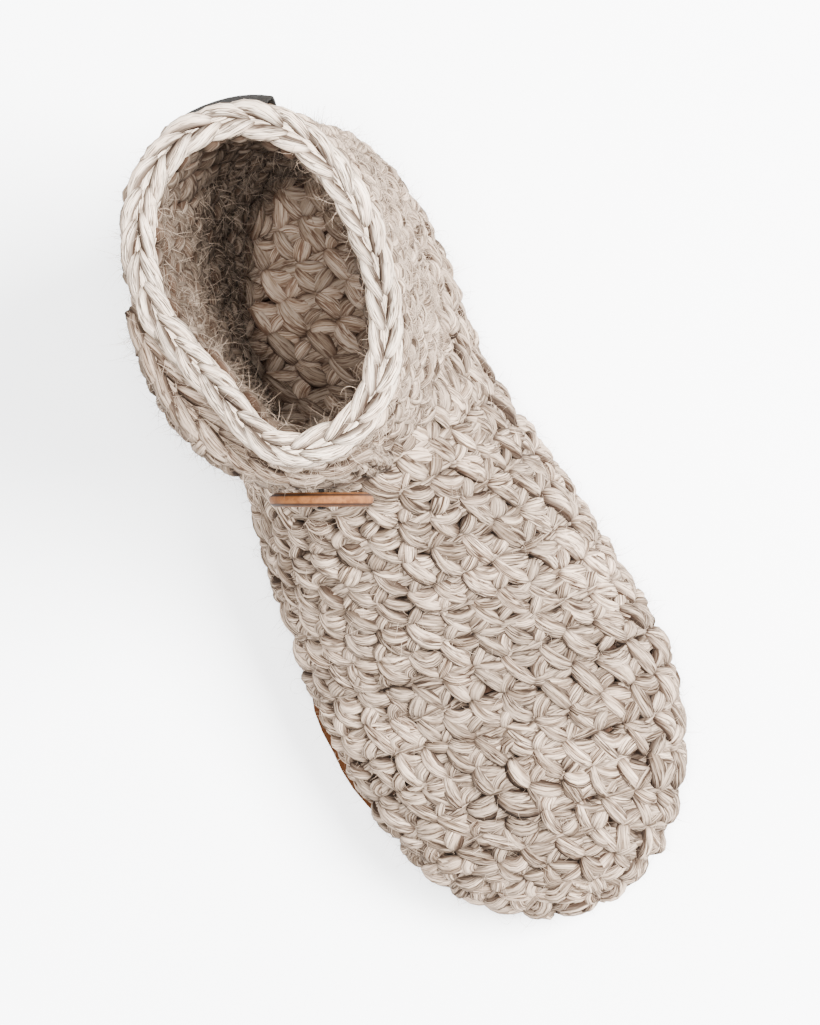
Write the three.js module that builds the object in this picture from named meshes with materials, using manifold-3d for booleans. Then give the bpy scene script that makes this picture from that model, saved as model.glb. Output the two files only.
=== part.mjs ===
import * as THREE from 'three';
import { mergeVertices } from 'three/addons/utils/BufferGeometryUtils.js';
import Module from 'manifold-3d';

const wasm = await Module();
wasm.setup();

// A crocheted ankle slipper for the right foot, in millimetres.
// The toe points to +X, the medial side to +Y and the floor is Z = 0.
const FOOT_END = 266;
const WALL = 7;
const FLOOR_WALL = 6;
const PIECE_GAP = 0.3;

// The suede sole: its sheet, how far it stops short of the wool, and how it leaves the floor.
const SOLE_THICKNESS = 2.2;
const SOLE_INSET = 2.4;
const SOLE_TOE_INSET = 3.4;
const SOLE_HEEL_INSET = 3;
const SOLE_FLARE = { out: 7, at: 196, spread: 40 };
const SOLE_EDGE_CURL = 1.5;
const SOLE_EDGE_WAVE = 0.7;
const TOE_SPRING = 6.5;
const TOE_SPRING_START = 214;
const ARCH_RISE = 1.6;
const ARCH_START = 76;
const ARCH_END = 138;
const HEEL_LIFT = 1.2;
const HEEL_LIFT_END = 26;

// The flap wrapped over the front of the shaft, in degrees round the shaft from the front.
const FLAP_THICKNESS = 6;
const FLAP_ROOT_THICKNESS = 3.2;
const FLAP_ROUNDING = 0.16;

// The wooden button and its thread.
const BUTTON_RADIUS = 15;
const BUTTON_THICKNESS = 4;
const BUTTON_HEIGHT = 121;
const BUTTON_TURN = -10.5;
const BUTTON_FACING = -19;
const BUTTON_LEAN = 2;
const BUTTON_STANDOFF = 1.7;
const BUTTON_RING_RADIUS = 10.4;
const HOLE_RADIUS = 1.3;
const HOLE_SPACING = 6;
const THREAD_RADIUS = 0.8;

// The woven label on the back of the shaft.
const LABEL_WIDTH = 20;
const LABEL_BOTTOM = 133;
const LABEL_TOP = 161;
const LABEL_THICKNESS = 1;
const LABEL_BULGE = 3;
const LABEL_TURN = 175.5;

// Foot of the upper, one row per section across the foot from the heel to the toe;
// lift is how far its underside leaves the sole.
const FOOT_COLUMNS = ['x', 'lift', 'top', 'half', 'mid', 'belly', 'edge', 'dome', 'crest'];
const FOOT_ROWS = [
  [8.0, 22.3, 26.0, 0.0, -1.0, 26, 2.2, 2.0, 0.0],
  [9.3, 6.0, 44.0, 9.5, -1.0, 26, 2.4, 2.0, 0.0],
  [13.0, 2.0, 58.0, 16.5, -1.2, 26, 3.0, 2.0, 0.0],
  [22.0, 0.5, 74.0, 23.5, -1.8, 27, 3.8, 2.0, 0.0],
  [39.0, 0.1, 89.0, 31.5, -3.6, 28, 4.4, 2.0, 0.0],
  [64.0, 0.0, 96.0, 38.2, -5.8, 29, 4.4, 2.0, 0.0],
  [94.0, 0.0, 95.0, 38.8, -7.0, 29, 4.4, 1.9, 1.0],
  [122.0, 0.0, 87.0, 44.5, -4.6, 28, 4.4, 1.8, 2.5],
  [150.0, 0.0, 67.5, 49.5, -2.0, 26, 4.4, 1.9, 3.0],
  [176.0, 0.0, 52.5, 52.4, 0.7, 24, 4.4, 2.1, 3.0],
  [201.0, 0.1, 47.0, 52.8, 3.8, 23, 4.4, 2.2, 3.0],
  [224.0, 0.3, 44.5, 48.4, 4.7, 22, 4.2, 2.3, 2.0],
  [243.0, 0.8, 38.0, 39.0, 5.2, 20, 3.6, 2.3, 1.0],
  [256.0, 1.5, 30.0, 27.0, 6.0, 18, 3.0, 2.2, 0.0],
  [263.5, 2.8, 22.5, 14.0, 6.4, 16, 2.4, 2.0, 0.0],
  [266.0, 7.0, 16.0, 0.0, 6.6, 16, 2.2, 2.0, 0.0],
];
const HEEL_START = FOOT_ROWS[0][0];
const HEEL_CAP = { x: 46, half: 32, height: 24 };
const TOE_CAP = { x: 205, half: 50, height: 21 };

// Shaft of the upper, one row per level section; yaw turns the section about its middle, in degrees.
const SHAFT_COLUMNS = ['z', 'back', 'front', 'half', 'mid', 'yaw', 'swell'];
const SHAFT_ROWS = [
  [36, 22.0, 96.0, 24.0, -5.0, 0.0, 0.0],
  [60, 15.0, 107.0, 31.8, -5.5, -0.5, 0.0],
  [88, 11.5, 112.0, 34.5, -6.2, -1.0, 0.0],
  [115, 10.0, 110.2, 34.5, -7.0, -1.5, 0.0],
  [140, 9.0, 109.2, 35.1, -8.6, -2.0, 0.0],
  [158, 8.8, 108.6, 35.2, -9.6, -2.0, 0.0],
  [163, 8.8, 108.6, 35.2, -9.8, -2.0, 0.8],
  [167, 8.8, 108.4, 35.2, -9.8, -2.0, 0.9],
  [170, 8.8, 108.4, 35.2, -9.8, -2.0, -0.8],
  [171, 8.8, 108.4, 35.2, -9.8, -2.0, -2.8],
];
// How far the wall is tucked in behind the flap, by the turn round the shaft, growing up to the collar.
const TUCK_COLUMNS = ['turn', 'depth'];
const TUCK_ROWS = [
  [-106, 0.0],
  [-93, 1.2],
  [-80, 5.0],
  [-54, 8.0],
  [-30, 4.6],
  [-10, 0.0],
];
const TUCK_START = 112;
const TUCK_END = 158;
const SHAFT_SQUARENESS = 2.2;
const COLLAR_TOP = 171;
const CAVITY_BOTTOM = 48;

// Outline of the flap, one row per upright row of stitches from its root to its free end.
const FLAP_COLUMNS = ['turn', 'bottom', 'top', 'thickness'];
const FLAP_ROWS = [
  [-92, 62, 168, FLAP_ROOT_THICKNESS],
  [-66, 73, 167, 5.6],
  [-40, 87, 163, FLAP_THICKNESS],
  [-16, 96, 158, FLAP_THICKNESS],
  [2, 98, 155, FLAP_THICKNESS],
  [15, 99, 152, 5.6],
];

// Numbers of facets along and round each form.
const FOOT_STATIONS = 40;
const FOOT_AROUND = 36;
const CAVITY_STATIONS = 32;
const CAVITY_AROUND = 28;
const SHAFT_LEVELS = 16;
const SHAFT_AROUND = 40;
const SOLE_STATIONS = 52;
const SOLE_ACROSS = 8;

const radians = THREE.MathUtils.degToRad;
const clamp = THREE.MathUtils.clamp;

// Value of one column, carried smoothly through the rows of a table; s runs from 0 to 1.
function columnAt(columns, rows, name, s) {
  const k = columns.indexOf(name);
  const last = rows.length - 1;
  const place = clamp(s, 0, 1) * last;
  const i = Math.min(Math.floor(place), last - 1);
  const t = place - i;
  const b = rows[i][k];
  const c = rows[i + 1][k];
  const a = i > 0 ? rows[i - 1][k] : 2 * b - c;
  const d = i < last - 1 ? rows[i + 2][k] : 2 * c - b;
  const slopeB = (c - a) / 2;
  const slopeC = (d - b) / 2;
  const t2 = t * t;
  const t3 = t2 * t;
  const fromB = (2 * t3 - 3 * t2 + 1) * b + (t3 - 2 * t2 + t) * slopeB;
  const fromC = (3 * t2 - 2 * t3) * c + (t3 - t2) * slopeC;
  return fromB + fromC;
}

// Place in a table, from 0 to 1, at which its first column reaches a value.
function placeAt(columns, rows, value) {
  let low = 0;
  let high = 1;
  for (let n = 0; n < 40; n++) {
    const s = (low + high) / 2;
    if (columnAt(columns, rows, columns[0], s) < value) {
      low = s;
    } else {
      high = s;
    }
  }
  return (low + high) / 2;
}

// How far the underside of the sole stands off the floor along the foot.
function soleRise(x) {
  const toe = Math.max(0, (x - TOE_SPRING_START) / (FOOT_END - TOE_SPRING_START));
  const heel = Math.max(0, (HEEL_LIFT_END - x) / (HEEL_LIFT_END - HEEL_START));
  const along = clamp((x - ARCH_START) / (ARCH_END - ARCH_START), 0, 1);
  const arch = ARCH_RISE * Math.sin(Math.PI * along) ** 2;
  return TOE_SPRING * toe * toe + HEEL_LIFT * heel * heel + arch;
}

// Sizes of the foot section at s, drawn in by a wall; both ends close as rounded caps.
function footSection(s, wall, floorWall) {
  const value = (name) => columnAt(FOOT_COLUMNS, FOOT_ROWS, name, s);
  const x = value('x');
  const half = Math.max(0, value('half'));
  const belly = value('belly');
  const toeward = x > FOOT_END / 2;
  const cap = toeward ? TOE_CAP : HEEL_CAP;
  const reach = toeward ? FOOT_END - cap.x : cap.x - HEEL_START;
  const beyond = toeward ? Math.max(0, x - cap.x) : Math.min(0, x - cap.x);
  const low = soleRise(x) + SOLE_THICKNESS + PIECE_GAP + Math.max(0, value('lift'));
  const up = Math.max(0, value('top') - belly);
  const down = Math.max(0, belly - low);
  return {
    x: x - beyond * wall / reach,
    half: half * (1 - wall / Math.max(half, cap.half)),
    up: up * (1 - wall / Math.max(up, cap.height)),
    down: down * (1 - floorWall / Math.max(down, cap.height)),
    mid: value('mid'),
    belly,
    edge: value('edge'),
    dome: value('dome'),
    crest: value('crest'),
  };
}

// A point round a foot section; turn 0 is the medial side and a quarter turn is the top.
function footPoint(section, turn) {
  const c = Math.cos(turn);
  const v = Math.sin(turn);
  const power = v >= 0 ? section.dome : section.edge;
  const y = section.half * Math.sign(c) * Math.abs(c) ** (2 / power);
  const rise = Math.sign(v) * Math.abs(v) ** (2 / power);
  const height = rise >= 0 ? section.up * rise : section.down * rise;
  const lean = section.crest * Math.max(0, rise) ** 2;
  return [section.x, section.mid + lean + y, section.belly + height];
}

// A point round the shaft at a level; turn 0 is the front and spread moves it out of the wall.
function shaftPoint(z, turn, spread) {
  const s = placeAt(SHAFT_COLUMNS, SHAFT_ROWS, Math.min(z, COLLAR_TOP));
  const value = (name) => columnAt(SHAFT_COLUMNS, SHAFT_ROWS, name, s);
  const middle = (value('front') + value('back')) / 2;
  const reach = (value('front') - value('back')) / 2 + spread;
  const half = value('half') + spread;
  const c = Math.cos(turn);
  const v = Math.sin(turn);
  const dx = reach * Math.sign(c) * Math.abs(c) ** (2 / SHAFT_SQUARENESS);
  const dy = half * Math.sign(v) * Math.abs(v) ** (2 / SHAFT_SQUARENESS);
  const yaw = radians(value('yaw'));
  const x = middle + dx * Math.cos(yaw) - dy * Math.sin(yaw);
  const y = value('mid') + dx * Math.sin(yaw) + dy * Math.cos(yaw);
  return [x, y, z];
}

// The thickening of the chain edge round the collar.
function collarSwell(z) {
  const s = placeAt(SHAFT_COLUMNS, SHAFT_ROWS, Math.min(z, COLLAR_TOP));
  return columnAt(SHAFT_COLUMNS, SHAFT_ROWS, 'swell', s);
}

// How far the wall of the shaft is tucked in behind the flap.
function tuckAt(z, turn) {
  const degrees = THREE.MathUtils.radToDeg(Math.atan2(Math.sin(turn), Math.cos(turn)));
  const s = placeAt(TUCK_COLUMNS, TUCK_ROWS, degrees);
  const depth = Math.max(0, columnAt(TUCK_COLUMNS, TUCK_ROWS, 'depth', s));
  return depth * THREE.MathUtils.smoothstep(z, TUCK_START, TUCK_END);
}

// Closed solid from triangles that may be wound either way as a whole.
function solidOf(points, triangles) {
  let volume = 0;
  for (const [i, j, k] of triangles) {
    const a = new THREE.Vector3(...points[i]);
    const b = new THREE.Vector3(...points[j]);
    const c = new THREE.Vector3(...points[k]);
    volume += a.dot(b.cross(c));
  }
  const wound = volume > 0 ? triangles : triangles.map(([i, j, k]) => [i, k, j]);
  const vertProperties = new Float32Array(points.flat());
  const triVerts = new Uint32Array(wound.flat());
  return new wasm.Manifold(new wasm.Mesh({ numProp: 3, vertProperties, triVerts }));
}

// Solid lofted through closed rings, with a point at either end.
function loft(rings, startPoint, endPoint) {
  const around = rings[0].length;
  const points = [startPoint, ...rings.flat(), endPoint];
  const end = points.length - 1;
  const at = (i, j) => 1 + i * around + (j % around);
  const triangles = [];
  for (let j = 0; j < around; j++) {
    triangles.push([0, at(0, j + 1), at(0, j)]);
    triangles.push([end, at(rings.length - 1, j), at(rings.length - 1, j + 1)]);
  }
  for (let i = 0; i < rings.length - 1; i++) {
    for (let j = 0; j < around; j++) {
      triangles.push([at(i, j), at(i, j + 1), at(i + 1, j)]);
      triangles.push([at(i + 1, j), at(i, j + 1), at(i + 1, j + 1)]);
    }
  }
  return solidOf(points, triangles);
}

// Sheet with a near and a far face, given as two grids of the same size.
function sheetSolid(near, far) {
  const rows = near.length;
  const columns = near[0].length;
  const points = [...near.flat(), ...far.flat()];
  const a = (i, j) => i * columns + j;
  const b = (i, j) => rows * columns + i * columns + j;
  const triangles = [];
  for (let i = 0; i < rows - 1; i++) {
    for (let j = 0; j < columns - 1; j++) {
      triangles.push([a(i, j), a(i, j + 1), a(i + 1, j)]);
      triangles.push([a(i + 1, j), a(i, j + 1), a(i + 1, j + 1)]);
      triangles.push([b(i, j), b(i + 1, j), b(i, j + 1)]);
      triangles.push([b(i + 1, j), b(i + 1, j + 1), b(i, j + 1)]);
    }
  }
  for (let i = 0; i < rows - 1; i++) {
    triangles.push([a(i, 0), a(i + 1, 0), b(i, 0)]);
    triangles.push([a(i + 1, 0), b(i + 1, 0), b(i, 0)]);
    triangles.push([a(i, columns - 1), b(i, columns - 1), a(i + 1, columns - 1)]);
    triangles.push([a(i + 1, columns - 1), b(i, columns - 1), b(i + 1, columns - 1)]);
  }
  for (let j = 0; j < columns - 1; j++) {
    triangles.push([a(0, j), b(0, j), a(0, j + 1)]);
    triangles.push([a(0, j + 1), b(0, j), b(0, j + 1)]);
    triangles.push([a(rows - 1, j), a(rows - 1, j + 1), b(rows - 1, j)]);
    triangles.push([a(rows - 1, j + 1), b(rows - 1, j + 1), b(rows - 1, j)]);
  }
  return solidOf(points, triangles);
}

// Foot form, drawn in by a wall or let out by a negative one.
function footForm(wall, floorWall, stations, around) {
  const rings = [];
  for (let i = 1; i < stations; i++) {
    const section = footSection(i / stations, wall, floorWall);
    const ring = [];
    for (let j = 0; j < around; j++) {
      ring.push(footPoint(section, 2 * Math.PI * j / around));
    }
    rings.push(ring);
  }
  const heel = footPoint(footSection(0, wall, floorWall), 0);
  const toe = footPoint(footSection(1, wall, floorWall), 0);
  return loft(rings, heel, toe);
}

// Shaft form between two levels, with the chain edge swelling both faces of its wall.
function shaftForm(levels, spread, swellSide, around) {
  const rings = levels.map((z) => {
    const ring = [];
    for (let j = 0; j < around; j++) {
      const turn = 2 * Math.PI * j / around;
      ring.push(shaftPoint(z, turn, spread + swellSide * collarSwell(z) - tuckAt(z, turn)));
    }
    return ring;
  });
  const middle = (ring) => {
    const total = ring.reduce((sum, p) => [sum[0] + p[0], sum[1] + p[1], sum[2] + p[2]], [0, 0, 0]);
    return total.map((v) => v / ring.length);
  };
  return loft(rings, middle(rings[0]), middle(rings[rings.length - 1]));
}

// Levels from one height to another, then the rows that round the collar.
function levelsFrom(bottom, count) {
  const levels = [];
  for (let i = 0; i < count; i++) {
    levels.push(bottom + (158 - bottom) * i / (count - 1));
  }
  return [...levels, 161, 163.5, 166.5, 168.5, 170, COLLAR_TOP];
}

// Levels of the outer face of the shaft.
function shaftLevels() {
  return levelsFrom(SHAFT_ROWS[0][0], SHAFT_LEVELS - 4);
}

// The upper: foot and shaft as one hollow sock, open at the collar.
function upperSolid() {
  const foot = footForm(0, 0, FOOT_STATIONS, FOOT_AROUND);
  const shaft = shaftForm(shaftLevels(), 0, 1, SHAFT_AROUND);
  const footCavity = footForm(WALL, FLOOR_WALL, CAVITY_STATIONS, CAVITY_AROUND);
  const collarLevels = [...levelsFrom(CAVITY_BOTTOM, SHAFT_LEVELS - 6), COLLAR_TOP + 6];
  const shaftCavity = shaftForm(collarLevels, -WALL, -1, CAVITY_AROUND);
  return foot.add(shaft).subtract(footCavity.add(shaftCavity));
}

// The flap: a panel of the shaft's own shape, laid over it and thinning at its edges.
function flapSolid() {
  const acrossCount = 26;
  const upCount = 16;
  const near = [];
  const far = [];
  for (let i = 0; i < acrossCount; i++) {
    const s = i / (acrossCount - 1);
    const value = (name) => columnAt(FLAP_COLUMNS, FLAP_ROWS, name, s);
    const nearRow = [];
    const farRow = [];
    for (let j = 0; j < upCount; j++) {
      const u = j / (upCount - 1);
      const z = value('bottom') + (value('top') - value('bottom')) * u;
      const endEdge = Math.min(1, (1 - s) / FLAP_ROUNDING);
      const sideEdge = Math.min(1, Math.min(u, 1 - u) / FLAP_ROUNDING);
      const rounding = 0.45 + 0.55 * Math.sqrt(1 - (1 - endEdge * sideEdge) ** 2);
      const turn = radians(value('turn') + 4 * (u - 0.5) * (s - 1));
      nearRow.push(shaftPoint(z, turn, -1));
      farRow.push(shaftPoint(z, turn, PIECE_GAP + value('thickness') * rounding));
    }
    near.push(nearRow);
    far.push(farRow);
  }
  const footClear = footForm(-PIECE_GAP, -PIECE_GAP, FOOT_STATIONS, FOOT_AROUND);
  const shaftClear = shaftForm(shaftLevels(), PIECE_GAP, 1, SHAFT_AROUND);
  return sheetSolid(near, far).subtract(footClear).subtract(shaftClear);
}

// The sole: a suede sheet with a wavy cut edge that curls up a little under the wool.
function soleSolid() {
  const near = [];
  const far = [];
  for (let i = 0; i <= SOLE_STATIONS; i++) {
    const s = 0.012 + 0.976 * i / SOLE_STATIONS;
    const section = footSection(s, SOLE_INSET, 0);
    const toward = section.x - FOOT_END / 2;
    const endInset = toward > 0 ? SOLE_TOE_INSET : SOLE_HEEL_INSET;
    const x = FOOT_END / 2 + toward * (1 - (endInset - SOLE_INSET) / (FOOT_END / 2));
    const flare = SOLE_FLARE.out * Math.exp(-(((x - SOLE_FLARE.at) / SOLE_FLARE.spread) ** 2));
    const nearRow = [];
    const farRow = [];
    for (let j = 0; j <= SOLE_ACROSS; j++) {
      const v = Math.sin(Math.PI * (j / SOLE_ACROSS - 0.5));
      const edge = clamp((Math.abs(v) - 0.7) / 0.3, 0, 1);
      const wave = SOLE_EDGE_WAVE * edge * Math.sin(0.37 * x + 2.1 * Math.sign(v)) * Math.cos(0.11 * x);
      const outward = wave * Math.sign(v) - flare * Math.max(0, -v) ** 2;
      const y = section.mid + v * section.half + outward;
      const z = soleRise(x) + SOLE_EDGE_CURL * edge * edge;
      nearRow.push([x, y, z]);
      farRow.push([x, y, z + SOLE_THICKNESS]);
    }
    near.push(nearRow);
    far.push(farRow);
  }
  return sheetSolid(near, far);
}

// Place of the button: its back rests a little off the flap and it faces out of the shaft, leaning back.
function buttonPlace() {
  const turn = radians(BUTTON_TURN);
  const seat = shaftPoint(BUTTON_HEIGHT, turn, PIECE_GAP + FLAP_THICKNESS);
  const facing = radians(BUTTON_FACING);
  const lean = radians(BUTTON_LEAN);
  const level = Math.cos(lean);
  const outward = new THREE.Vector3(level * Math.cos(facing), level * Math.sin(facing), Math.sin(lean));
  const across = new THREE.Vector3(-Math.sin(facing), Math.cos(facing), 0);
  const upward = new THREE.Vector3().crossVectors(outward, across);
  const place = new THREE.Matrix4().makeBasis(across, upward, outward);
  return place.setPosition(new THREE.Vector3(...seat));
}

// Manifold solid of a three.js geometry, after its seams are joined.
function solidFrom(geometry, matrix) {
  const plain = geometry.clone();
  plain.deleteAttribute('normal');
  plain.deleteAttribute('uv');
  if (matrix) {
    plain.applyMatrix4(matrix);
  }
  const joined = mergeVertices(plain, 1e-4);
  const index = joined.getIndex().array;
  const position = joined.getAttribute('position');
  const points = [];
  for (let i = 0; i < position.count; i++) {
    points.push([position.getX(i), position.getY(i), position.getZ(i)]);
  }
  const triangles = [];
  for (let i = 0; i < index.length; i += 3) {
    const corners = [index[i], index[i + 1], index[i + 2]];
    if (new Set(corners).size === 3) {
      triangles.push(corners);
    }
  }
  return solidOf(points, triangles);
}

// The button: a turned disc with a rounded rim, a burnt ring groove and two holes.
function buttonSolid(place) {
  const back = BUTTON_STANDOFF;
  const face = back + BUTTON_THICKNESS;
  const ring = BUTTON_RING_RADIUS;
  const profile = [
    [0, back],
    [BUTTON_RADIUS - 2, back],
    [BUTTON_RADIUS - 0.5, back + 0.8],
    [BUTTON_RADIUS, back + 1.9],
    [BUTTON_RADIUS - 0.4, face - 0.8],
    [BUTTON_RADIUS - 1.5, face],
    [ring + 0.6, face - 0.2],
    [ring, face - 0.8],
    [ring - 0.6, face - 0.4],
    [ring - 3.5, face - 0.9],
    [0, face - 1.1],
  ].map(([r, z]) => new THREE.Vector2(r, z));
  const upright = new THREE.Matrix4().makeRotationX(Math.PI / 2);
  const facing = new THREE.Matrix4().multiplyMatrices(place, upright);
  const disc = solidFrom(new THREE.LatheGeometry(profile, 36), facing);
  return holeCentres().reduce((solid, [x, y]) => {
    const hole = new THREE.CylinderGeometry(HOLE_RADIUS, HOLE_RADIUS, 2 * BUTTON_THICKNESS, 14);
    const at = new THREE.Matrix4().makeTranslation(x, y, back + BUTTON_THICKNESS / 2);
    const matrix = new THREE.Matrix4().multiplyMatrices(place, at.multiply(upright));
    return solid.subtract(solidFrom(hole, matrix));
  }, disc);
}

// Middles of the two holes on the face of the button.
function holeCentres() {
  return [-1, 1].map((side) => [0, side * HOLE_SPACING / 2]);
}

// The thread: a leg down each hole to the flap, and a bar across the face between them.
function threadSolid(place) {
  const bottom = 0.75;
  const barLevel = BUTTON_STANDOFF + BUTTON_THICKNESS - 1.1 + THREAD_RADIUS + PIECE_GAP;
  const upright = new THREE.Matrix4().makeRotationX(Math.PI / 2);
  const legs = holeCentres().map(([x, y]) => {
    const leg = new THREE.CylinderGeometry(THREAD_RADIUS, THREAD_RADIUS, barLevel - bottom, 10);
    const at = new THREE.Matrix4().makeTranslation(x, y, (barLevel + bottom) / 2);
    return solidFrom(leg, new THREE.Matrix4().multiplyMatrices(place, at.multiply(upright)));
  });
  const bar = new THREE.CapsuleGeometry(THREAD_RADIUS * 1.02, HOLE_SPACING, 4, 12);
  const barAt = new THREE.Matrix4().makeTranslation(0, 0, barLevel);
  const barSolid = solidFrom(bar, new THREE.Matrix4().multiplyMatrices(place, barAt));
  return legs[0].add(legs[1]).add(barSolid);
}

// The label: a woven strip on the back of the shaft, sewn at both ends and bowed between.
function labelSolid() {
  const acrossCount = 9;
  const upCount = 10;
  const spreadTurn = LABEL_WIDTH / 2 / 34;
  const near = [];
  const far = [];
  for (let i = 0; i < acrossCount; i++) {
    const turn = radians(LABEL_TURN) + spreadTurn * (2 * i / (acrossCount - 1) - 1);
    const nearRow = [];
    const farRow = [];
    for (let j = 0; j < upCount; j++) {
      const u = j / (upCount - 1);
      const z = LABEL_BOTTOM + (LABEL_TOP - LABEL_BOTTOM) * u;
      const seat = PIECE_GAP + Math.max(0, collarSwell(z));
      const bow = seat + LABEL_BULGE * Math.sin(Math.PI * u) ** 2;
      nearRow.push(shaftPoint(z, turn, bow));
      farRow.push(shaftPoint(z, turn, bow + LABEL_THICKNESS));
    }
    near.push(nearRow);
    far.push(farRow);
  }
  return sheetSolid(near, far);
}

// Named node for a solid, in its own plain material.
function nodeOf(name, solid, color, roughness) {
  const mesh = solid.getMesh();
  const geometry = new THREE.BufferGeometry();
  geometry.setAttribute('position', new THREE.BufferAttribute(new Float32Array(mesh.vertProperties), 3));
  geometry.setIndex(new THREE.BufferAttribute(new Uint32Array(mesh.triVerts), 1));
  geometry.computeVertexNormals();
  const node = new THREE.Mesh(geometry, new THREE.MeshStandardMaterial({ color, roughness, metalness: 0 }));
  node.name = name;
  return node;
}

const place = buttonPlace();
const slipper = new THREE.Group();
slipper.name = 'house_slipper';
slipper.add(nodeOf('upper', upperSolid(), 0xcfc3b6, 0.95));
slipper.add(nodeOf('flap', flapSolid(), 0xc9bcae, 0.95));
slipper.add(nodeOf('sole', soleSolid(), 0x96561f, 0.9));
slipper.add(nodeOf('button', buttonSolid(place), 0xb57a45, 0.5));
slipper.add(nodeOf('button_thread', threadSolid(place), 0x2c211c, 0.8));
slipper.add(nodeOf('heel_label', labelSolid(), 0x4a443f, 0.85));

// The origin is the middle of the slipper's box on the floor.
const box = new THREE.Box3().setFromObject(slipper);
const centre = box.getCenter(new THREE.Vector3());
for (const node of slipper.children) {
  node.geometry.translate(-centre.x, -centre.y, -box.min.z);
}

export default slipper;
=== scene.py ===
"""Crocheted house slipper: its wool, suede sole, wooden button and label, and the stage that shows them."""

import functools
import math

import bmesh
import bpy
import numpy as np
from bpy.props import FloatProperty, FloatVectorProperty, IntProperty, PointerProperty
from mathutils import Matrix, Vector
from mathutils.bvhtree import BVHTree


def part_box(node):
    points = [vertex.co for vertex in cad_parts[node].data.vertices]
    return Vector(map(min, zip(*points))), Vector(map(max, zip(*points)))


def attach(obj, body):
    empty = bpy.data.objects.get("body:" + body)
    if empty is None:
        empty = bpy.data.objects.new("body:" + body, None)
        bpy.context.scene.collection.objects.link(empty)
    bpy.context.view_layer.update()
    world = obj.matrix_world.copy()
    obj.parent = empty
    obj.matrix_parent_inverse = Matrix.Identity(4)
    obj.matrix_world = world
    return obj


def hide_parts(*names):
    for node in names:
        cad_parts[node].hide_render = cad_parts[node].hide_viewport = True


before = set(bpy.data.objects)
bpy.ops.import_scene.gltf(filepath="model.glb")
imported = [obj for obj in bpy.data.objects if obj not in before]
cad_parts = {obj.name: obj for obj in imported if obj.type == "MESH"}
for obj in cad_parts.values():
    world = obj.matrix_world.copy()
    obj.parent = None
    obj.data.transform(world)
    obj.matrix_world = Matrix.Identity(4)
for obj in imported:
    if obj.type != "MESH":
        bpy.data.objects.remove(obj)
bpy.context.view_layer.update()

bl_info = {
    "name": "Crocheted house slipper",
    "version": (1, 0, 0),
    "blender": (4, 5, 0),
    "location": "View3D > Sidebar > Slipper",
    "description": "Dresses the solids of a crocheted ankle slipper in wool, suede and wood",
    "category": "Object",
}

MM = 0.001
TAU = 2 * math.pi

# Places and lengths below are in millimetres, in the frame of the solids.
# The axis of the shaft, from which its rows are measured, and the level where its stitches are counted.
SHAFT_AXIS = np.array([-76.6, -8.8])
SHAFT_WAIST = 122.0
# Highest and lowest row of the shaft and heel, and of the wall inside.
SHAFT_ROWS = (168.0, 7.0)
INSIDE_ROWS = (165.0, 40.0)
# The line on each side where the rows of the foot meet the rows of the heel.
INSTEP = (-22.6, 91.0)
INSTEP_SLOPE = 0.31
# Level at which the middle of the foot is found, and where along the foot the toe starts to round over.
FOOT_LEVEL = 22.0
TOE_START = 73.4
# Foot bed: where its first row lies, and how many rows it has.
GROUND_START = -118.6
GROUND_ROWS = 13
# The collar: the level where its chain begins, where its edge starts to round over, and its top.
COLLAR_CHAIN = 162
COLLAR_EDGE = 165.0
COLLAR_TOP = 171.0
# Points along a rounded edge, and round a ring of the foot.
EDGE_POINTS = 180
FOOT_POINTS = 160
# The flap, in degrees round the shaft from the front.
FLAP_FROM, FLAP_TO = -91.0, 14.0
# The label: its turn about the shaft in degrees, and its lowest and highest level.
LABEL_PLACE = (175.5, 133.0, 161.0)
# No hair grows this near to the middle of the trim, where it would lie across it, or this near to the floor.
HAIR_FREE = (("button", 33), ("heel_label", 31))
HAIR_LOW = 20
# Fine rows of a cloth to each row of stitches.
FINE = 4
# Rings of points along a strand, and how far along it each lies.
STRAND_RINGS = 7
STRAND_T = np.linspace(0, 1, STRAND_RINGS)


def coloured(name, text, default):
    """A colour that the user can change."""
    return FloatVectorProperty(name=name, description=text, default=default,
                               size=3, min=0, max=1, subtype="COLOR")


def length(name, text, default, lowest=0.0):
    """A length in metres that the user can change."""
    return FloatProperty(name=name, description=text, default=default, min=lowest, unit="LENGTH", precision=4)


def number(name, text, default):
    """A count that the user can change."""
    return IntProperty(name=name, description=text, default=default, min=0)


class SlipperWoolSettings(bpy.types.PropertyGroup):
    """Yarn and stitches of the upper."""

    stitch_pitch: length("Stitch width", "Width of one stitch along its row", 0.0101)
    row_pitch: length("Row height", "Distance from one row to the next", 0.0107)
    yarn_width: length("Yarn width", "Width of a strand of yarn at its middle", 0.0062)
    yarn_depth: length("Yarn depth", "Thickness of a strand of yarn at its middle", 0.005)
    chain_pitch: length("Chain pitch", "Length of one link of the chain edges", 0.0092)
    light: coloured("Light fibre", "Colour of the palest fibres", (0.465, 0.35, 0.264))
    middle: coloured("Middle fibre", "Colour of most of the wool", (0.145, 0.101, 0.07))
    # Also the colour of painted shade at the ends and low sides of strands and on the wall behind the
    # stitches.
    dark: coloured("Dark fibre", "Colour of the brown fibres", (0.017, 0.009, 0.0055))
    edge: coloured("Chain edge", "Colour of the chain round the collar", (0.6, 0.49, 0.39))
    fibres: number("Loose fibres", "Number of hairs standing off the wool", 5000)
    curls: number("Loose curls", "Number of long curled hairs standing off the wool", 420)
    fuzz: number("Felted fuzz", "Number of short hairs lying on the wall and the flap", 12000)


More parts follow.
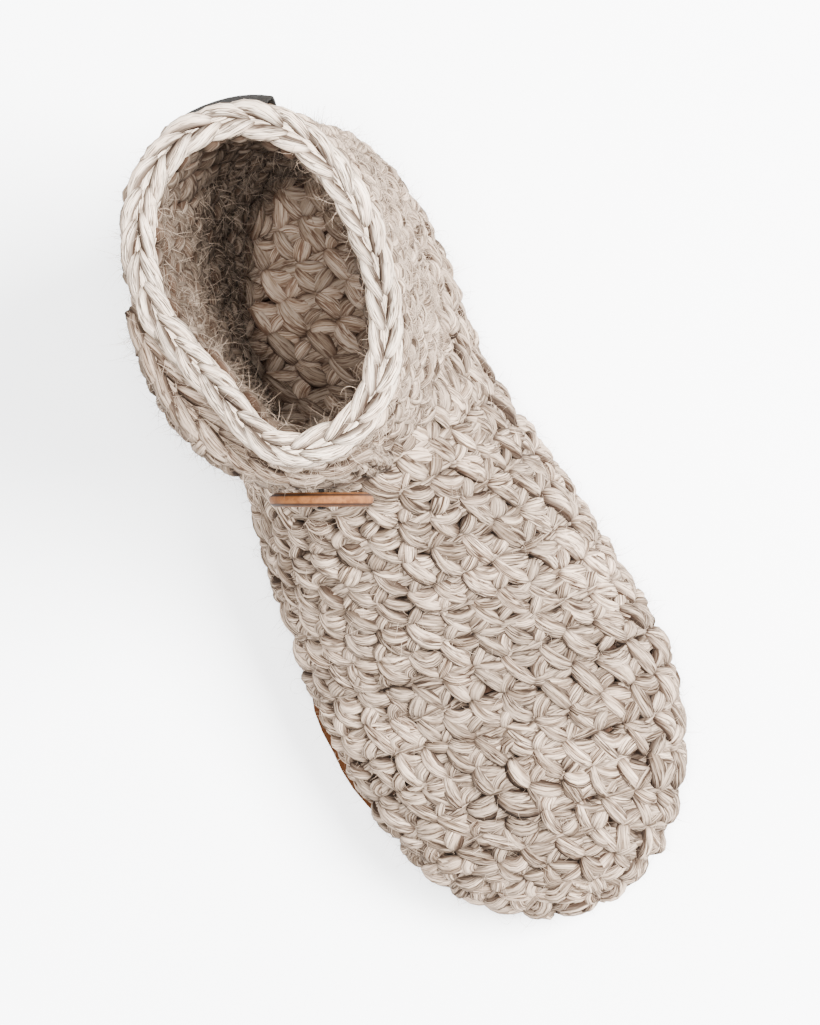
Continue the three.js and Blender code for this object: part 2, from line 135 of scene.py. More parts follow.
class SlipperSoleSettings(bpy.types.PropertyGroup):
    """Suede and its running stitch."""

    suede: coloured("Suede", "Colour of the suede", (0.11, 0.036, 0.010))
    # Also the base of the painted shade on the sole's upward faces.
    suede_dark: coloured("Brushed suede", "Colour where the nap is brushed back", (0.06, 0.019, 0.005))
    thread: coloured("Sewing thread", "Colour of the running stitch", (0.001, 0.075, 0.36))
    stitch_length: length("Stitch length", "Length of one running stitch", 0.0088)
    stitch_gap: length("Stitch gap", "Gap between two running stitches", 0.0024)
    seam_inset: length("Seam inset", "How far the seam runs in from the edge", 0.0062)


class SlipperTrimSettings(bpy.types.PropertyGroup):
    """Wooden button, its thread and the label."""

    wood: coloured("Wood", "Colour of the button", (0.13, 0.05, 0.016))
    wood_dark: coloured("Wood grain", "Colour of the grain lines", (0.045, 0.015, 0.005))
    burnt: coloured("Burnt ring", "Colour of the ring burnt into the button", (0.012, 0.006, 0.004))
    ring: length("Ring radius", "Radius of the burnt ring", 0.0104)
    hole_spacing: length("Hole spacing", "Distance between the two holes", 0.006)
    thread: coloured("Button thread", "Colour of the thread in the button", (0.012, 0.009, 0.007))
    label: coloured("Label", "Colour of the woven label", (0.004, 0.0034, 0.003))
    label_weft: coloured("Label weft", "Colour of the threads across the label", (0.016, 0.0135, 0.0115))


class SlipperStageSettings(bpy.types.PropertyGroup):
    """Camera, floor and light."""

    camera_height: length("Camera height", "Height of the camera over the floor", 1.171)
    camera_x: length("Camera along", "Camera place along the foot", -0.0113, -5.0)
    camera_y: length("Camera across", "Camera place across the foot", 0.0876, -5.0)
    turn: FloatProperty(name="Roll", description="Angle of the foot in the picture",
                        default=math.radians(19.4), subtype="ANGLE")
    focal: FloatProperty(name="Focal length", description="Focal length in millimetres", default=130.0, min=1)
    floor: coloured("Floor", "Colour of the floor", (0.97, 0.975, 0.98))


def dressed(piece, material):
    """The piece gets its material and moves with the slipper."""
    piece.data.materials.append(material)
    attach(piece, "root")


def rng_for(text):
    """Seeded random numbers for one group of pieces."""
    return np.random.default_rng(sum(ord(c) * (i + 1) for i, c in enumerate(text)))


def unit(vectors):
    """Vectors scaled to a length of one."""
    return vectors / np.maximum(np.linalg.norm(vectors, axis=-1, keepdims=True), 1e-9)


# Surfaces of the solids.

def merged_copy(name):
    """Mesh of a solid with its loose triangles joined, as a bmesh."""
    bm = bmesh.new()
    bm.from_mesh(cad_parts[name].data)
    bmesh.ops.remove_doubles(bm, verts=bm.verts, dist=1e-6)
    bm.normal_update()
    return bm


@functools.lru_cache(maxsize=None)
def solid_tree(name):
    """Search tree of a solid's faces, in millimetres."""
    bm = merged_copy(name)
    bmesh.ops.scale(bm, vec=(1 / MM, 1 / MM, 1 / MM), verts=bm.verts)
    tree = BVHTree.FromBMesh(bm)
    bm.free()
    return tree


def hit(tree, start, aim, reach=1000.0):
    """First point of the solid along a ray, or None."""
    place = tree.ray_cast(Vector(start), Vector(aim).normalized(), reach)[0]
    return None if place is None else np.array(place)


def hit_towards(tree, centre, aim):
    """Outer point of the solid on a ray that comes in from outside to a centre."""
    aim = np.asarray(aim, float) / np.linalg.norm(aim)
    place = hit(tree, np.asarray(centre) + aim * 400, -aim)
    return np.asarray(centre) + aim * 5 if place is None else place


def run_along(points):
    """How far each point lies along a line of points."""
    return np.concatenate([[0], np.cumsum(np.linalg.norm(np.diff(points, axis=0), axis=1))])


def spaced(points, count, closed):
    """Points at equal distances along a line of points."""
    pts = np.asarray(points, float)
    if closed:
        pts = np.vstack([pts, pts[:1]])
    along = run_along(pts)
    at = np.linspace(0, along[-1], count + 1)[:-1] if closed else np.linspace(0, along[-1], count)
    return np.stack([np.interp(at, along, pts[:, k]) for k in range(3)], axis=1)


def eased(points, times, closed):
    """Points along a line, each drawn towards its two neighbours."""
    points = np.array(points, float, order="C")
    for _ in range(times):
        if closed:
            points = (np.roll(points, 1, 0) + 2 * points + np.roll(points, -1, 0)) / 4
        else:
            points[1:-1] = (points[:-2] + 2 * points[1:-1] + points[2:]) / 4
    return points


class Cloth:
    """A curved face laid out in rows; place(row, share) gives points on it and how they face."""

    def __init__(self, rows, closed, smooth=3, centre=None, inward=False):
        grid = np.array(rows, float)
        for _ in range(smooth):
            grid = eased(grid.swapaxes(0, 1), 1, closed).swapaxes(0, 1)
            grid = eased(grid, 1, False)
        self.grid = grid
        self.closed = closed
        across = np.roll(grid, -1, 1) - np.roll(grid, 1, 1) if closed else np.gradient(grid, axis=1)
        facing = unit(np.cross(np.gradient(grid, axis=0), across))
        middle = grid.mean(axis=1, keepdims=True) if centre is None else centre
        outward = np.sum(facing * (grid - middle)) > 0
        self.facing = facing if outward != inward else -facing

    def _read(self, table, row, share):
        """Values of a table between its rows and columns."""
        rows, columns = table.shape[:2]
        r = np.clip(row, 0, rows - 1.001)
        i = r.astype(int)
        down = (r - i)[..., None]
        if self.closed:
            c = np.mod(share, 1.0) * columns
            j = np.floor(c).astype(int) % columns
            k = (j + 1) % columns
        else:
            c = np.clip(share, 0, 1) * (columns - 1.001)
            j = c.astype(int)
            k = j + 1
        over = (c - np.floor(c))[..., None]
        near = table[i, j] * (1 - over) + table[i, k] * over
        far = table[i + 1, j] * (1 - over) + table[i + 1, k] * over
        return near * (1 - down) + far * down

    def place(self, row, share):
        """Points of the cloth and how it faces there."""
        row, share = np.broadcast_arrays(np.asarray(row, float), np.asarray(share, float))
        return self._read(self.grid, row, share), unit(self._read(self.facing, row, share))

    def girth(self, row):
        """Length of a row."""
        shares = np.linspace(0, 1, 200, endpoint=not self.closed)
        ring = self._read(self.grid, np.full(200, float(row)), shares)
        steps = np.diff(np.vstack([ring, ring[:1]]) if self.closed else ring, axis=0)
        return np.linalg.norm(steps, axis=1).sum()


# Meshes of many strands.

def joined(name, verts, faces, values):
    """One mesh object from arrays, with its values kept as attributes of its points."""
    mesh = bpy.data.meshes.new(name)
    mesh.vertices.add(len(verts))
    mesh.vertices.foreach_set("co", (np.asarray(verts) * MM).astype(np.float32).ravel())
    faces = np.asarray(faces, np.int32)
    mesh.loops.add(faces.size)
    mesh.loops.foreach_set("vertex_index", faces.ravel())
    mesh.polygons.add(len(faces))
    mesh.polygons.foreach_set("loop_start", np.arange(0, faces.size, faces.shape[1], dtype=np.int32))
    mesh.update(calc_edges=True)
    for key, data in values.items():
        add_values(mesh, key, data)
    mesh.polygons.foreach_set("use_smooth", np.full(len(faces), True))
    mesh.validate()
    return linked(name, mesh)


def add_values(mesh, key, data):
    """Values kept on the points of a mesh, for its material."""
    data = np.asarray(data, np.float32)
    vector = data.ndim == 2
    layer = mesh.attributes.new(key, "FLOAT_VECTOR" if vector else "FLOAT", "POINT")
    layer.data.foreach_set("vector" if vector else "value", data.ravel())


def linked(name, mesh):
    """Object of a mesh, in the scene."""
    piece = bpy.data.objects.new(name, mesh)
    bpy.context.scene.collection.objects.link(piece)
    return piece


def piece_of(bm, name, sharp=None):
    """Object of a bmesh, which is freed; smooth up to an angle in degrees, where one is given."""
    mesh = bpy.data.meshes.new(name)
    bm.to_mesh(mesh)
    bm.free()
    if sharp is not None:
        mesh.shade_smooth()
        mesh.set_sharp_from_angle(angle=math.radians(sharp))
    return linked(name, mesh)


# Corners of a strand's section, in degrees, closest on the side that shows.
STRAND_CORNERS = np.radians([-18, 24, 56, 90, 124, 156, 198, 270])


def strand_mesh(name, spines, facing, width, depth, tone, tip=0.4, fullness=0.5, uneven=0.1, lean=0.28):
    """Tapered strands of yarn along spines; arrays run strand by strand."""
    rng = rng_for(name + "_shape")
    count, steps = spines.shape[:2]
    sides = len(STRAND_CORNERS)
    t = np.linspace(0, 1, steps)
    swell = tip + (1 - tip) * np.sin(np.pi * np.clip(t, 0.01, 0.99)) ** fullness
    along = unit(np.gradient(spines, axis=1))
    side = unit(np.cross(facing, along))
    side = unit(side + np.cross(along, side) * rng.normal(0, lean, (count, 1, 1)))
    up = np.cross(along, side)
    ridge = 1 + rng.normal(0, uneven, (count, 1, sides))
    half_w = (width[:, None] * swell[None] / 2)[..., None]
    half_d = (depth[:, None] * swell[None] / 2)[..., None]
    rings = spines[:, :, None] + side[:, :, None] * (np.cos(STRAND_CORNERS) * ridge * half_w)[..., None]
    rings = rings + up[:, :, None] * (np.sin(STRAND_CORNERS) * ridge * half_d)[..., None]
    base = np.arange(count)[:, None, None] * steps * sides
    near = base + np.arange(steps - 1)[None, :, None] * sides
    far = near + sides
    j = np.arange(sides)[None, None, :]
    k = (j + 1) % sides
    quads = np.stack([near + j, near + k, far + k, far + j], axis=-1).reshape(-1, 4)
    ends = []
    for start, flip in ((0, True), ((steps - 1) * sides, False)):
        for q in range((sides - 2) // 2):
            corners = [0, 1 + 2 * q, 2 + 2 * q, 3 + 2 * q]
            if flip:
                corners.reverse()
            ends.append(np.stack([base[:, 0, 0] + start + v for v in corners], axis=-1))
    gaps = np.linalg.norm(np.diff(spines, axis=1), axis=2)
    reach = np.concatenate([np.zeros((count, 1)), np.cumsum(gaps, axis=1)], axis=1)
    twist = STRAND_CORNERS[None, None, :] + 0.5 * t[None, :, None]
    # Place in the yarn: along it in centimetres, and round it with a slow twist.
    yarn = np.empty((count, steps, sides, 3))
    yarn[..., 0] = reach[:, :, None] / 10
    yarn[..., 1] = np.cos(twist)
    yarn[..., 2] = np.sin(twist)
    # 1 on the crown of a strand at its middle, and 0 at its ends and low on its sides; it masks the painted
    # shade where a strand dives under others and on its underside.
    crown = np.clip((np.sin(STRAND_CORNERS) - 0.25) / 0.55, 0, 1)
    middle = np.broadcast_to((np.sin(np.pi * t)[:, None] ** 0.8 * crown)[None], (count, steps, sides))
    tones = np.broadcast_to(tone[:, None, None], (count, steps, sides))
    values = {"yarn": yarn.reshape(-1, 3), "tone": tones.ravel(), "middle": middle.ravel()}
    return joined(name, rings.reshape(-1, 3), np.concatenate([quads] + ends), values)


# A stitch has a slanted strand from the row before it, and these two: their ends are in stitches along and
# rows down.
FAN_STRANDS = (
    {"start": (0.04, -0.05), "end": (0.56, -0.42), "bow": -0.10, "width": 0.9, "rise": 0.0},
    {"start": (0.02, 0.05), "end": (0.88, 0.42), "bow": 0.10, "width": 0.9, "rise": 0.15},
)
# Places, in stitches along and rows down, of the yarn that shows between the stitches, which is darkened as
# painted shade.
UNDER_STRANDS = ((0.0, 0.02), (-0.28, -0.5))
# How far each row is shifted along, in stitches.
STITCH_SLANT = 0.56
# Height of a strand's middle line over its cloth at the top of a stitch and where it dives.
STITCH_TOP, STITCH_DIVE = -0.8, -2.9
# How far the links of a chain reach from its middle row, and the yarn below them in shares of that.
CHAIN_REACH = 5.2
CHAIN_GROUND = (-1.2, -0.75, -0.25, 0.25, 0.75, 1.2)
# Points on the wool of each piece, and how they face there, from which fibres grow.
FIBRE_ROOTS = {}


def keep_roots(name, spines, facings):
    """Keeps the middle points of a piece's strands, from which its hairs grow."""
    FIBRE_ROOTS[name] = (spines[:, 2:5].reshape(-1, 3), facings[:, 2:5].reshape(-1, 3))


def arch(t, low, rise):
    """Heights along a strand that dives at both ends."""
    return low + rise * np.clip(np.sin(np.pi * t), 0.04, 1) ** 0.6


def stitch_counts(cloth, places, pitch, least=1):
    """Stitches in each row of a cloth, the same in all the rows that are nearly as long as most."""
    counts = [max(least, int(round(cloth.girth(place) / pitch))) for place in places]
    most = int(np.median(counts))
    return [most if abs(n - most) <= 2 else n for n in counts]


def waves(points, rng, size):
    """Slow random waves through space, about -1 to 1."""
    total = np.zeros(len(points))
    for _ in range(5):
        aim = rng.normal(0, 1, 3)
        aim *= TAU / (size * rng.uniform(0.7, 1.6) * np.linalg.norm(aim))
        total += np.sin(points @ aim + rng.uniform(0, TAU))
    return total / 2.2


def lattice(cloth, rows, counts, rng):
    """Nodes of the crochet, the nodes of the row before that they grow from, and which begin a stitch.

    A node is a row, a share along it and the width of a stitch there.
    """
    def table(row, share, n):
        return np.stack([np.full(len(share), float(row)), share, np.full(len(share), 1.0 / n)], axis=1)

    nodes, before, main = [], [], []
    shift, last, last_shift = 0.0, counts[0], -STITCH_SLANT / counts[0]
    last_row = rows[0] - FINE
    for row, n in zip(rows, counts):
        share = np.arange(n) / n + shift
        nearest = np.round((share - STITCH_SLANT / n - last_shift) * last)
        left = np.setdiff1d(np.arange(last), np.mod(nearest, last))
        joint = np.round((left / last + last_shift + STITCH_SLANT / last - shift) * n)
        share = np.concatenate([share, joint / n + shift])
        nearest = np.concatenate([nearest, left])
        nodes.append(table(row, share, n))
        before.append(table(last_row, nearest / last + last_shift, last))
        main.append(np.arange(len(share)) < n)
        last, last_shift, last_row = n, shift, row
        shift += STITCH_SLANT / n
    nodes, before = np.concatenate(nodes), np.concatenate(before)
    if not cloth.closed:
        whole = np.floor(nodes[:, 1])
        nodes[:, 1] -= whole
        before[:, 1] -= whole
    slow = [rng.integers(1, 10 ** 6) for _ in range(2)]
    for ends in (nodes, before):
        point = cloth.place(ends[:, 0], ends[:, 1])[0]
        ends[:, 0] += FINE * 0.15 * waves(point, np.random.default_rng(slow[0]), 60.0)
        ends[:, 1] += ends[:, 2] * 0.18 * waves(point, np.random.default_rng(slow[1]), 60.0)
    return nodes, before, np.concatenate(main)


def run_strands(cloth, begin, finish, bow, wide, low, high):
    """Spines over a cloth from one place to another, bowed sideways and diving at both ends."""
    t = STRAND_T[None]
    swing = np.sin(np.pi * t)
    down = finish[:, :1] - begin[:, :1]
    over = finish[:, 1:2] - begin[:, 1:2]
    wide = wide[:, None]
    row = begin[:, :1] + down * t + over / wide * FINE * bow[:, None] * swing
    share = begin[:, 1:2] + over * t - down / FINE * wide * bow[:, None] * swing
    point, out = cloth.place(row, share)
    return point + out * arch(t, low, high[:, None] - low)[..., None], out


def crochet(name, cloth, rows, counts, keep, settings, scale=1.0, press=None, under=True):
    """Crochet stitches over a cloth.

    keep picks the stitches, press pushes their points in, and under adds the yarn that shows between them.
    """
    rng = rng_for(name)
    nodes, before, main = lattice(cloth, rows, counts, rng)
    kept = keep(*cloth.place(nodes[:, 0], nodes[:, 1]))
    nodes, before, main = nodes[kept], before[kept], main[kept]

    def shaken(places, mean):
        down = rng.normal(mean, 0.3, len(places))
        over = places[:, 2] * rng.normal(0, 0.07, len(places))
        return places + np.column_stack([down, over, np.zeros(len(places))])

    runs = [(shaken(before, 0.0), shaken(nodes, 0.1), 0.05, 1.0, 0.3)]
    nodes = nodes[main]
    count = len(nodes)
    wide = nodes[:, 2]
    for fan in FAN_STRANDS:
        ends = []
        for over, down in (fan["start"], fan["end"]):
            places = nodes.copy()
            places[:, 0] += FINE * (down + rng.normal(0, 0.07, count))
            places[:, 1] += wide * (over + rng.normal(0, 0.07, count))
            ends.append(places)
        runs.append((ends[0], ends[1], fan["bow"], fan["width"], fan["rise"]))
    for over, down in UNDER_STRANDS if under else ():
        begin, finish = nodes.copy(), nodes.copy()
        begin[:, 0] += FINE * (down + rng.normal(0, 0.05, count))
        finish[:, 0] += FINE * (down + rng.normal(0, 0.05, count))
        begin[:, 1] += wide * (over - 0.35)
        finish[:, 1] += wide * (over + 1.35)
        runs.append((begin, finish, 0.0, 0.95, -1.7))
    spines, faces, widths, tones = [], [], [], []
    for begin, finish, bow, width, rise in runs:
        size = len(begin)
        bows = bow + rng.normal(0, 0.07, size)
        high = (STITCH_TOP + rise) * scale + rng.normal(0, 0.4, size)
        spine, out = run_strands(cloth, begin, finish, bows, finish[:, 2], STITCH_DIVE * scale, high)
        spines.append(spine)
        faces.append(out)
        widths.append(width * (1 + np.clip(rng.normal(0, 0.14, size), -0.3, 0.3)))
        # The yarn between the stitches gets tones near 0: painted shade.
        tones.append(rng.random(size) * (0.12 if rise < -0.5 else 1.0))
    spines, faces = np.concatenate(spines), np.concatenate(faces)
    if press is not None:
        spines = press(spines, faces)
    width = np.concatenate(widths) * settings.yarn_width / MM * scale
    depth = np.full(len(width), settings.yarn_depth / MM * scale)
    keep_roots(name, spines, faces)
    return strand_mesh(name, spines, faces, width, depth, np.concatenate(tones))


def chain(name, cloth, middle_row, settings):
    """Chain of V stitches along a cloth's shares, both legs leaning out from a middle row."""
    rng = rng_for(name)
    links = int(round(cloth.girth(middle_row) / (settings.chain_pitch / MM)))
    step = 1.0 / links
    link = np.arange(links)[:, None]
    t = STRAND_T[None]
    spines, facings, widths = [], [], []
    for side in (-1, 1):
        jitter = rng.normal(0, 0.05, (links, 2))
        share = step * (link + 0.12 * side + jitter[:, :1] + 1.9 * t - 0.4)
        lean = 0.12 + 0.88 * np.sin(0.5 * np.pi * t) ** 0.8 + jitter[:, 1:]
        row = middle_row + side * CHAIN_REACH * lean
        point, out = cloth.place(row, share)
        spines.append(point + out * np.broadcast_to(arch(t, -1.9, 1.5), row.shape)[..., None])
        facings.append(out)
        widths.append(1 + rng.normal(0, 0.06, links))
    for offset in CHAIN_GROUND:
        share = step * (link + 1.5 * t - 0.2 + offset / 2)
        row = middle_row + CHAIN_REACH * (offset + rng.normal(0, 0.05, (links, 1)) + 0 * t)
        point, out = cloth.place(row, share)
        spines.append(point - out * (1.5 if abs(offset) > 1 else 2.2))
        facings.append(out)
        widths.append(np.full(links, 0.9))
    width = np.concatenate(widths) * settings.yarn_width / MM * 0.78
    spines, facings = np.concatenate(spines), np.concatenate(facings)
    keep_roots(name, spines, facings)
    tone = rng.uniform(0.5, 1.0, len(width))
    return strand_mesh(name, spines, facings, width, width * 0.9, tone, tip=0.24, fullness=0.6, lean=0.15)


# Materials.

def shader(name):
    """New material with its node tree and surface shader."""
    material = bpy.data.materials.new(name)
    material.use_nodes = True
    tree = material.node_tree
    return material, tree, tree.nodes["Principled BSDF"]


def node(tree, kind, **values):
    """New node with its properties and the values of its sockets set."""
    made = tree.nodes.new(kind)
    for key, value in values.items():
        if hasattr(made, key) and key not in made.inputs:
            setattr(made, key, value)
        else:
            made.inputs[key].default_value = value
    return made


def math_node(tree, operation, first, second=None):
    """Sum on sockets or plain numbers; returns its result."""
    made = tree.nodes.new("ShaderNodeMath")
    made.operation = operation
    for socket, value in zip(made.inputs, (first, second)):
        if isinstance(value, (int, float)):
            socket.default_value = value
        elif value is not None:
            tree.links.new(value, socket)
    return made.outputs[0]


def span(tree, value, low, high, to_low=0.0, to_high=1.0):
    """Value carried smoothly from one range to another."""
    made = node(tree, "ShaderNodeMapRange", interpolation_type="SMOOTHSTEP")
    for key, number in (("From Min", low), ("From Max", high), ("To Min", to_low), ("To Max", to_high)):
        made.inputs[key].default_value = number
    tree.links.new(value, made.inputs["Value"])
    return made.outputs["Result"]


def mixed(tree, factor, first, second, blend="MIX"):
    """Two colours mixed; each is a socket or a plain colour."""
    made = node(tree, "ShaderNodeMix", data_type="RGBA", blend_type=blend)
    for socket, value in ((made.inputs[0], factor), (made.inputs[6], first), (made.inputs[7], second)):
        if isinstance(value, (int, float)):
            socket.default_value = value
        elif isinstance(value, tuple):
            socket.default_value = (*value, 1.0)
        else:
            tree.links.new(value, socket)
    return made.outputs[2]


def noise(tree, vector, scale, detail=2.0, roughness=0.5):
    """Noise on a vector."""
    made = node(tree, "ShaderNodeTexNoise", Scale=scale, Detail=detail, Roughness=roughness)
    tree.links.new(vector, made.inputs["Vector"])
    return made.outputs["Fac"]


def attribute(tree, name, output="Fac"):
    """Value kept on the points of a mesh."""
    return node(tree, "ShaderNodeAttribute", attribute_name=name).outputs[output]


def bumped(tree, surface, height, strength, distance):
    """Fine relief on a surface."""
    made = node(tree, "ShaderNodeBump", Strength=strength, Distance=distance)
    tree.links.new(height, made.inputs["Height"])
    tree.links.new(made.outputs["Normal"], surface.inputs["Normal"])


def fixed(surface, **values):
    """Values of the surface shader that are the same all over."""
    for key, value in values.items():
        surface.inputs[key.replace("_", " ")].default_value = value


def object_place(tree):
    """Place on the object, for a pattern that stays on it."""
    return node(tree, "ShaderNodeTexCoord").outputs["Object"]


def scaled(colour, level):
    """Colour made lighter or darker."""
    return tuple(level * v for v in colour)


def wool_material(name, light, middle, dark, level=1.0):
    """Marled wool: fibres streak along each strand; painted shade darkens strands where they dive under
    others.
    """
    material, tree, surface = shader(name)
    link = tree.links.new
    split = node(tree, "ShaderNodeSeparateXYZ")
    link(attribute(tree, "yarn", "Vector"), split.inputs[0])
    tone = attribute(tree, "tone")
    streak = node(tree, "ShaderNodeCombineXYZ")
    offset = math_node(tree, "MULTIPLY", tone, 61.0)
    link(math_node(tree, "ADD", split.outputs["X"], offset), streak.inputs["X"])
    for axis in "YZ":
        link(math_node(tree, "MULTIPLY", split.outputs[axis], 3.4), streak.inputs[axis])
    plies = noise(tree, streak.outputs[0], 0.75, 2.0, 0.6)
    hairs = noise(tree, streak.outputs[0], 1.9, 2.0, 0.6)
    lines = noise(tree, streak.outputs[0], 1.15, 1.0, 0.5)
    patch = noise(tree, streak.outputs[0], 0.42, 1.0)
    base = mixed(tree, span(tree, plies, 0.34, 0.64), middle, light)
    base = mixed(tree, span(tree, hairs, 0.34, 0.5, 0.8, 0.0), base, dark)
    off = math_node(tree, "ABSOLUTE", math_node(tree, "SUBTRACT", lines, 0.5))
    thin = span(tree, off, 0.015, 0.09, 1.0, 0.0)
    thin = math_node(tree, "MULTIPLY", thin, span(tree, patch, 0.38, 0.58, 0.1, 0.9))
    base = mixed(tree, thin, base, dark)
    # Painted shade: dark fibre colour at the ends and low sides of each strand, where it dives under others.
    base = mixed(tree, span(tree, attribute(tree, "middle"), 0.05, 0.8, 0.92, 0.0), base, dark)
    cloudy = span(tree, noise(tree, object_place(tree), 26.0, 2.0), 0.34, 0.64, 0.78 * level, 1.04 * level)
    shade = math_node(tree, "MULTIPLY", cloudy, span(tree, tone, 0.0, 1.0, 0.68, 1.14))
    tint = node(tree, "ShaderNodeCombineColor")
    for channel in range(3):
        link(shade, tint.inputs[channel])
    link(mixed(tree, 1.0, base, tint.outputs[0], "MULTIPLY"), surface.inputs["Base Color"])
    bumped(tree, surface, math_node(tree, "ADD", hairs, plies), 0.7, 0.0006)
    fixed(surface, Roughness=0.95, Specular_IOR_Level=0.05)
    return material


@functools.lru_cache(maxsize=None)
def wool(kind):
    """Wool of the stitches, the collar's chain, the flap, the inside of the wall or the foot bed."""
    settings = bpy.context.scene.slipper_wool
    light, middle = tuple(settings.light), tuple(settings.middle)
    dark, edge = tuple(settings.dark), tuple(settings.edge)
    # Palest fibres darkened: painted shade on the flap, the wall inside and the foot bed.
    shaded_light = scaled(light, 0.62)
    # Dark fibres lightened: painted light in the crevices of the wall inside and the foot bed.
    soft = scaled(dark, 3.4)
    # The last number scales each copy; at 0.47 the wall inside is painted shade.
    made = {
        "stitches": ("marled_wool", light, middle, dark, 1.0),
        "chain": ("pale_chain_wool", edge, light, dark, 1.0),
        "flap": ("flap_wool", shaded_light, middle, dark, 0.95),
        "wall": ("inside_wool_painted_shade", shaded_light, middle, soft, 0.47),
        "ground": ("foot_bed_wool", scaled(light, 0.5), middle, soft, 1.05),
    }
    return wool_material(*made[kind])


def backing_material(settings):
    """The wall under the stitches, which shows only between strands: painted dark as the shade in the
    crevices.
    """
    material, tree, surface = shader("painted_crevice_shade")
    fuzz = noise(tree, object_place(tree), 420.0, 4.0)
    colour = mixed(tree, span(tree, fuzz, 0.3, 0.7), scaled(settings.dark, 0.8), scaled(settings.dark, 1.8))
    tree.links.new(colour, surface.inputs["Base Color"])
    bumped(tree, surface, fuzz, 0.5, 0.001)
    fixed(surface, Roughness=1.0, Specular_IOR_Level=0.1)
    return material


def suede_material(settings):
    """Tan suede: a short nap brushed lighter and darker in patches."""
    material, tree, surface = shader("tan_suede")
    where = object_place(tree)
    patch = noise(tree, where, 38.0, 4.0, 0.6)
    nap = noise(tree, where, 1500.0, 3.0, 0.7)
    both = math_node(tree, "ADD", math_node(tree, "MULTIPLY", patch, 0.6),
                     math_node(tree, "MULTIPLY", nap, 0.4))
    colour = mixed(tree, span(tree, both, 0.36, 0.62), tuple(settings.suede_dark), tuple(settings.suede))
    # Painted shade: faces of the sole that look up, under the wool, are darkened.
    colour = mixed(tree, attribute(tree, "painted_top_shade"), colour, scaled(settings.suede_dark, 0.85))
    tree.links.new(colour, surface.inputs["Base Color"])
    bumped(tree, surface, nap, 0.45, 0.0004)
    fixed(surface, Roughness=0.95, Specular_IOR_Level=0.05, Sheen_Weight=0.06, Sheen_Roughness=0.5)
    return material


def thread_material(name, colour):
    """Twisted sewing thread."""
    material, tree, surface = shader(name)
    ply = noise(tree, attribute(tree, "yarn", "Vector"), 5.0)
    shade = mixed(tree, span(tree, ply, 0.3, 0.65), scaled(colour, 0.55), tuple(colour))
    tree.links.new(shade, surface.inputs["Base Color"])
    bumped(tree, surface, ply, 0.5, 0.0003)
    fixed(surface, Roughness=0.8, Specular_IOR_Level=0.12)
    return material


def wood_material(settings):
    """Turned wood: grain along the button's face, a burnt ring, and a thin coat of oil."""
    material, tree, surface = shader("turned_wood")
    split = node(tree, "ShaderNodeSeparateXYZ")
    tree.links.new(attribute(tree, "wood", "Vector"), split.inputs[0])
    grain = node(tree, "ShaderNodeCombineXYZ")
    tree.links.new(math_node(tree, "MULTIPLY", split.outputs["X"], 0.35), grain.inputs["X"])
    tree.links.new(split.outputs["Y"], grain.inputs["Y"])
    tree.links.new(split.outputs["Z"], grain.inputs["Z"])
    broad = noise(tree, grain.outputs[0], 4.0, 3.0, 0.6)
    pores = noise(tree, grain.outputs[0], 22.0, 3.0, 0.7)
    wood, dark = tuple(settings.wood), tuple(settings.wood_dark)
    colour = mixed(tree, span(tree, broad, 0.3, 0.65, 0.75, 0.0), wood, dark)
    colour = mixed(tree, span(tree, pores, 0.28, 0.44, 0.7, 0.0), colour, dark)
    sides = [math_node(tree, "ABSOLUTE", split.outputs[axis]) for axis in "XY"]
    squares = [math_node(tree, "POWER", side, 2.0) for side in sides]
    radius = math_node(tree, "SQRT", math_node(tree, "ADD", *squares))
    off = math_node(tree, "ABSOLUTE", math_node(tree, "SUBTRACT", radius, settings.ring / MM / 10))
    colour = mixed(tree, span(tree, off, 0.035, 0.075, 0.95, 0.0), colour, tuple(settings.burnt))
    # The outer rim of both faces takes the burnt colour: a burnt edge in front, and painted shade at the back
    # where the button meets the flap.
    face = span(tree, math_node(tree, "ABSOLUTE", split.outputs["Z"]), 0.08, 0.12)
    burnt_and_shaded_rim = math_node(tree, "MULTIPLY", face, span(tree, radius, 1.33, 1.4, 0.0, 0.92))
    colour = mixed(tree, burnt_and_shaded_rim, colour, tuple(settings.burnt))
    tree.links.new(colour, surface.inputs["Base Color"])
    bumped(tree, surface, pores, 0.3, 0.0002)
    fixed(surface, Roughness=0.7, Specular_IOR_Level=0.06, Coat_Weight=0.02, Coat_Roughness=0.5)
    return material


def label_material(settings):
    """Plain woven strip."""
    material, tree, surface = shader("woven_label")
    where = object_place(tree)
    check = node(tree, "ShaderNodeTexChecker", Scale=1900.0)
    tree.links.new(where, check.inputs["Vector"])
    fuzz = noise(tree, where, 900.0, 3.0)
    weave = math_node(tree, "MULTIPLY", check.outputs["Fac"], fuzz)
    colour = mixed(tree, span(tree, weave, 0.2, 0.6), tuple(settings.label), tuple(settings.label_weft))
    tree.links.new(colour, surface.inputs["Base Color"])
    bumped(tree, surface, weave, 0.6, 0.0003)
    fixed(surface, Roughness=0.9, Specular_IOR_Level=0.03)
    return material


# Cloths that the stitches follow.

def foot_middle(tree, x):
    """Middle of the foot across its width at x."""
    lateral = hit(tree, (x, -200, FOOT_LEVEL), (0, 1, 0))
    medial = hit(tree, (x, 200, FOOT_LEVEL), (0, -1, 0))
    if lateral is None or medial is None:
        return 4.0
    return (lateral[1] + medial[1]) / 2


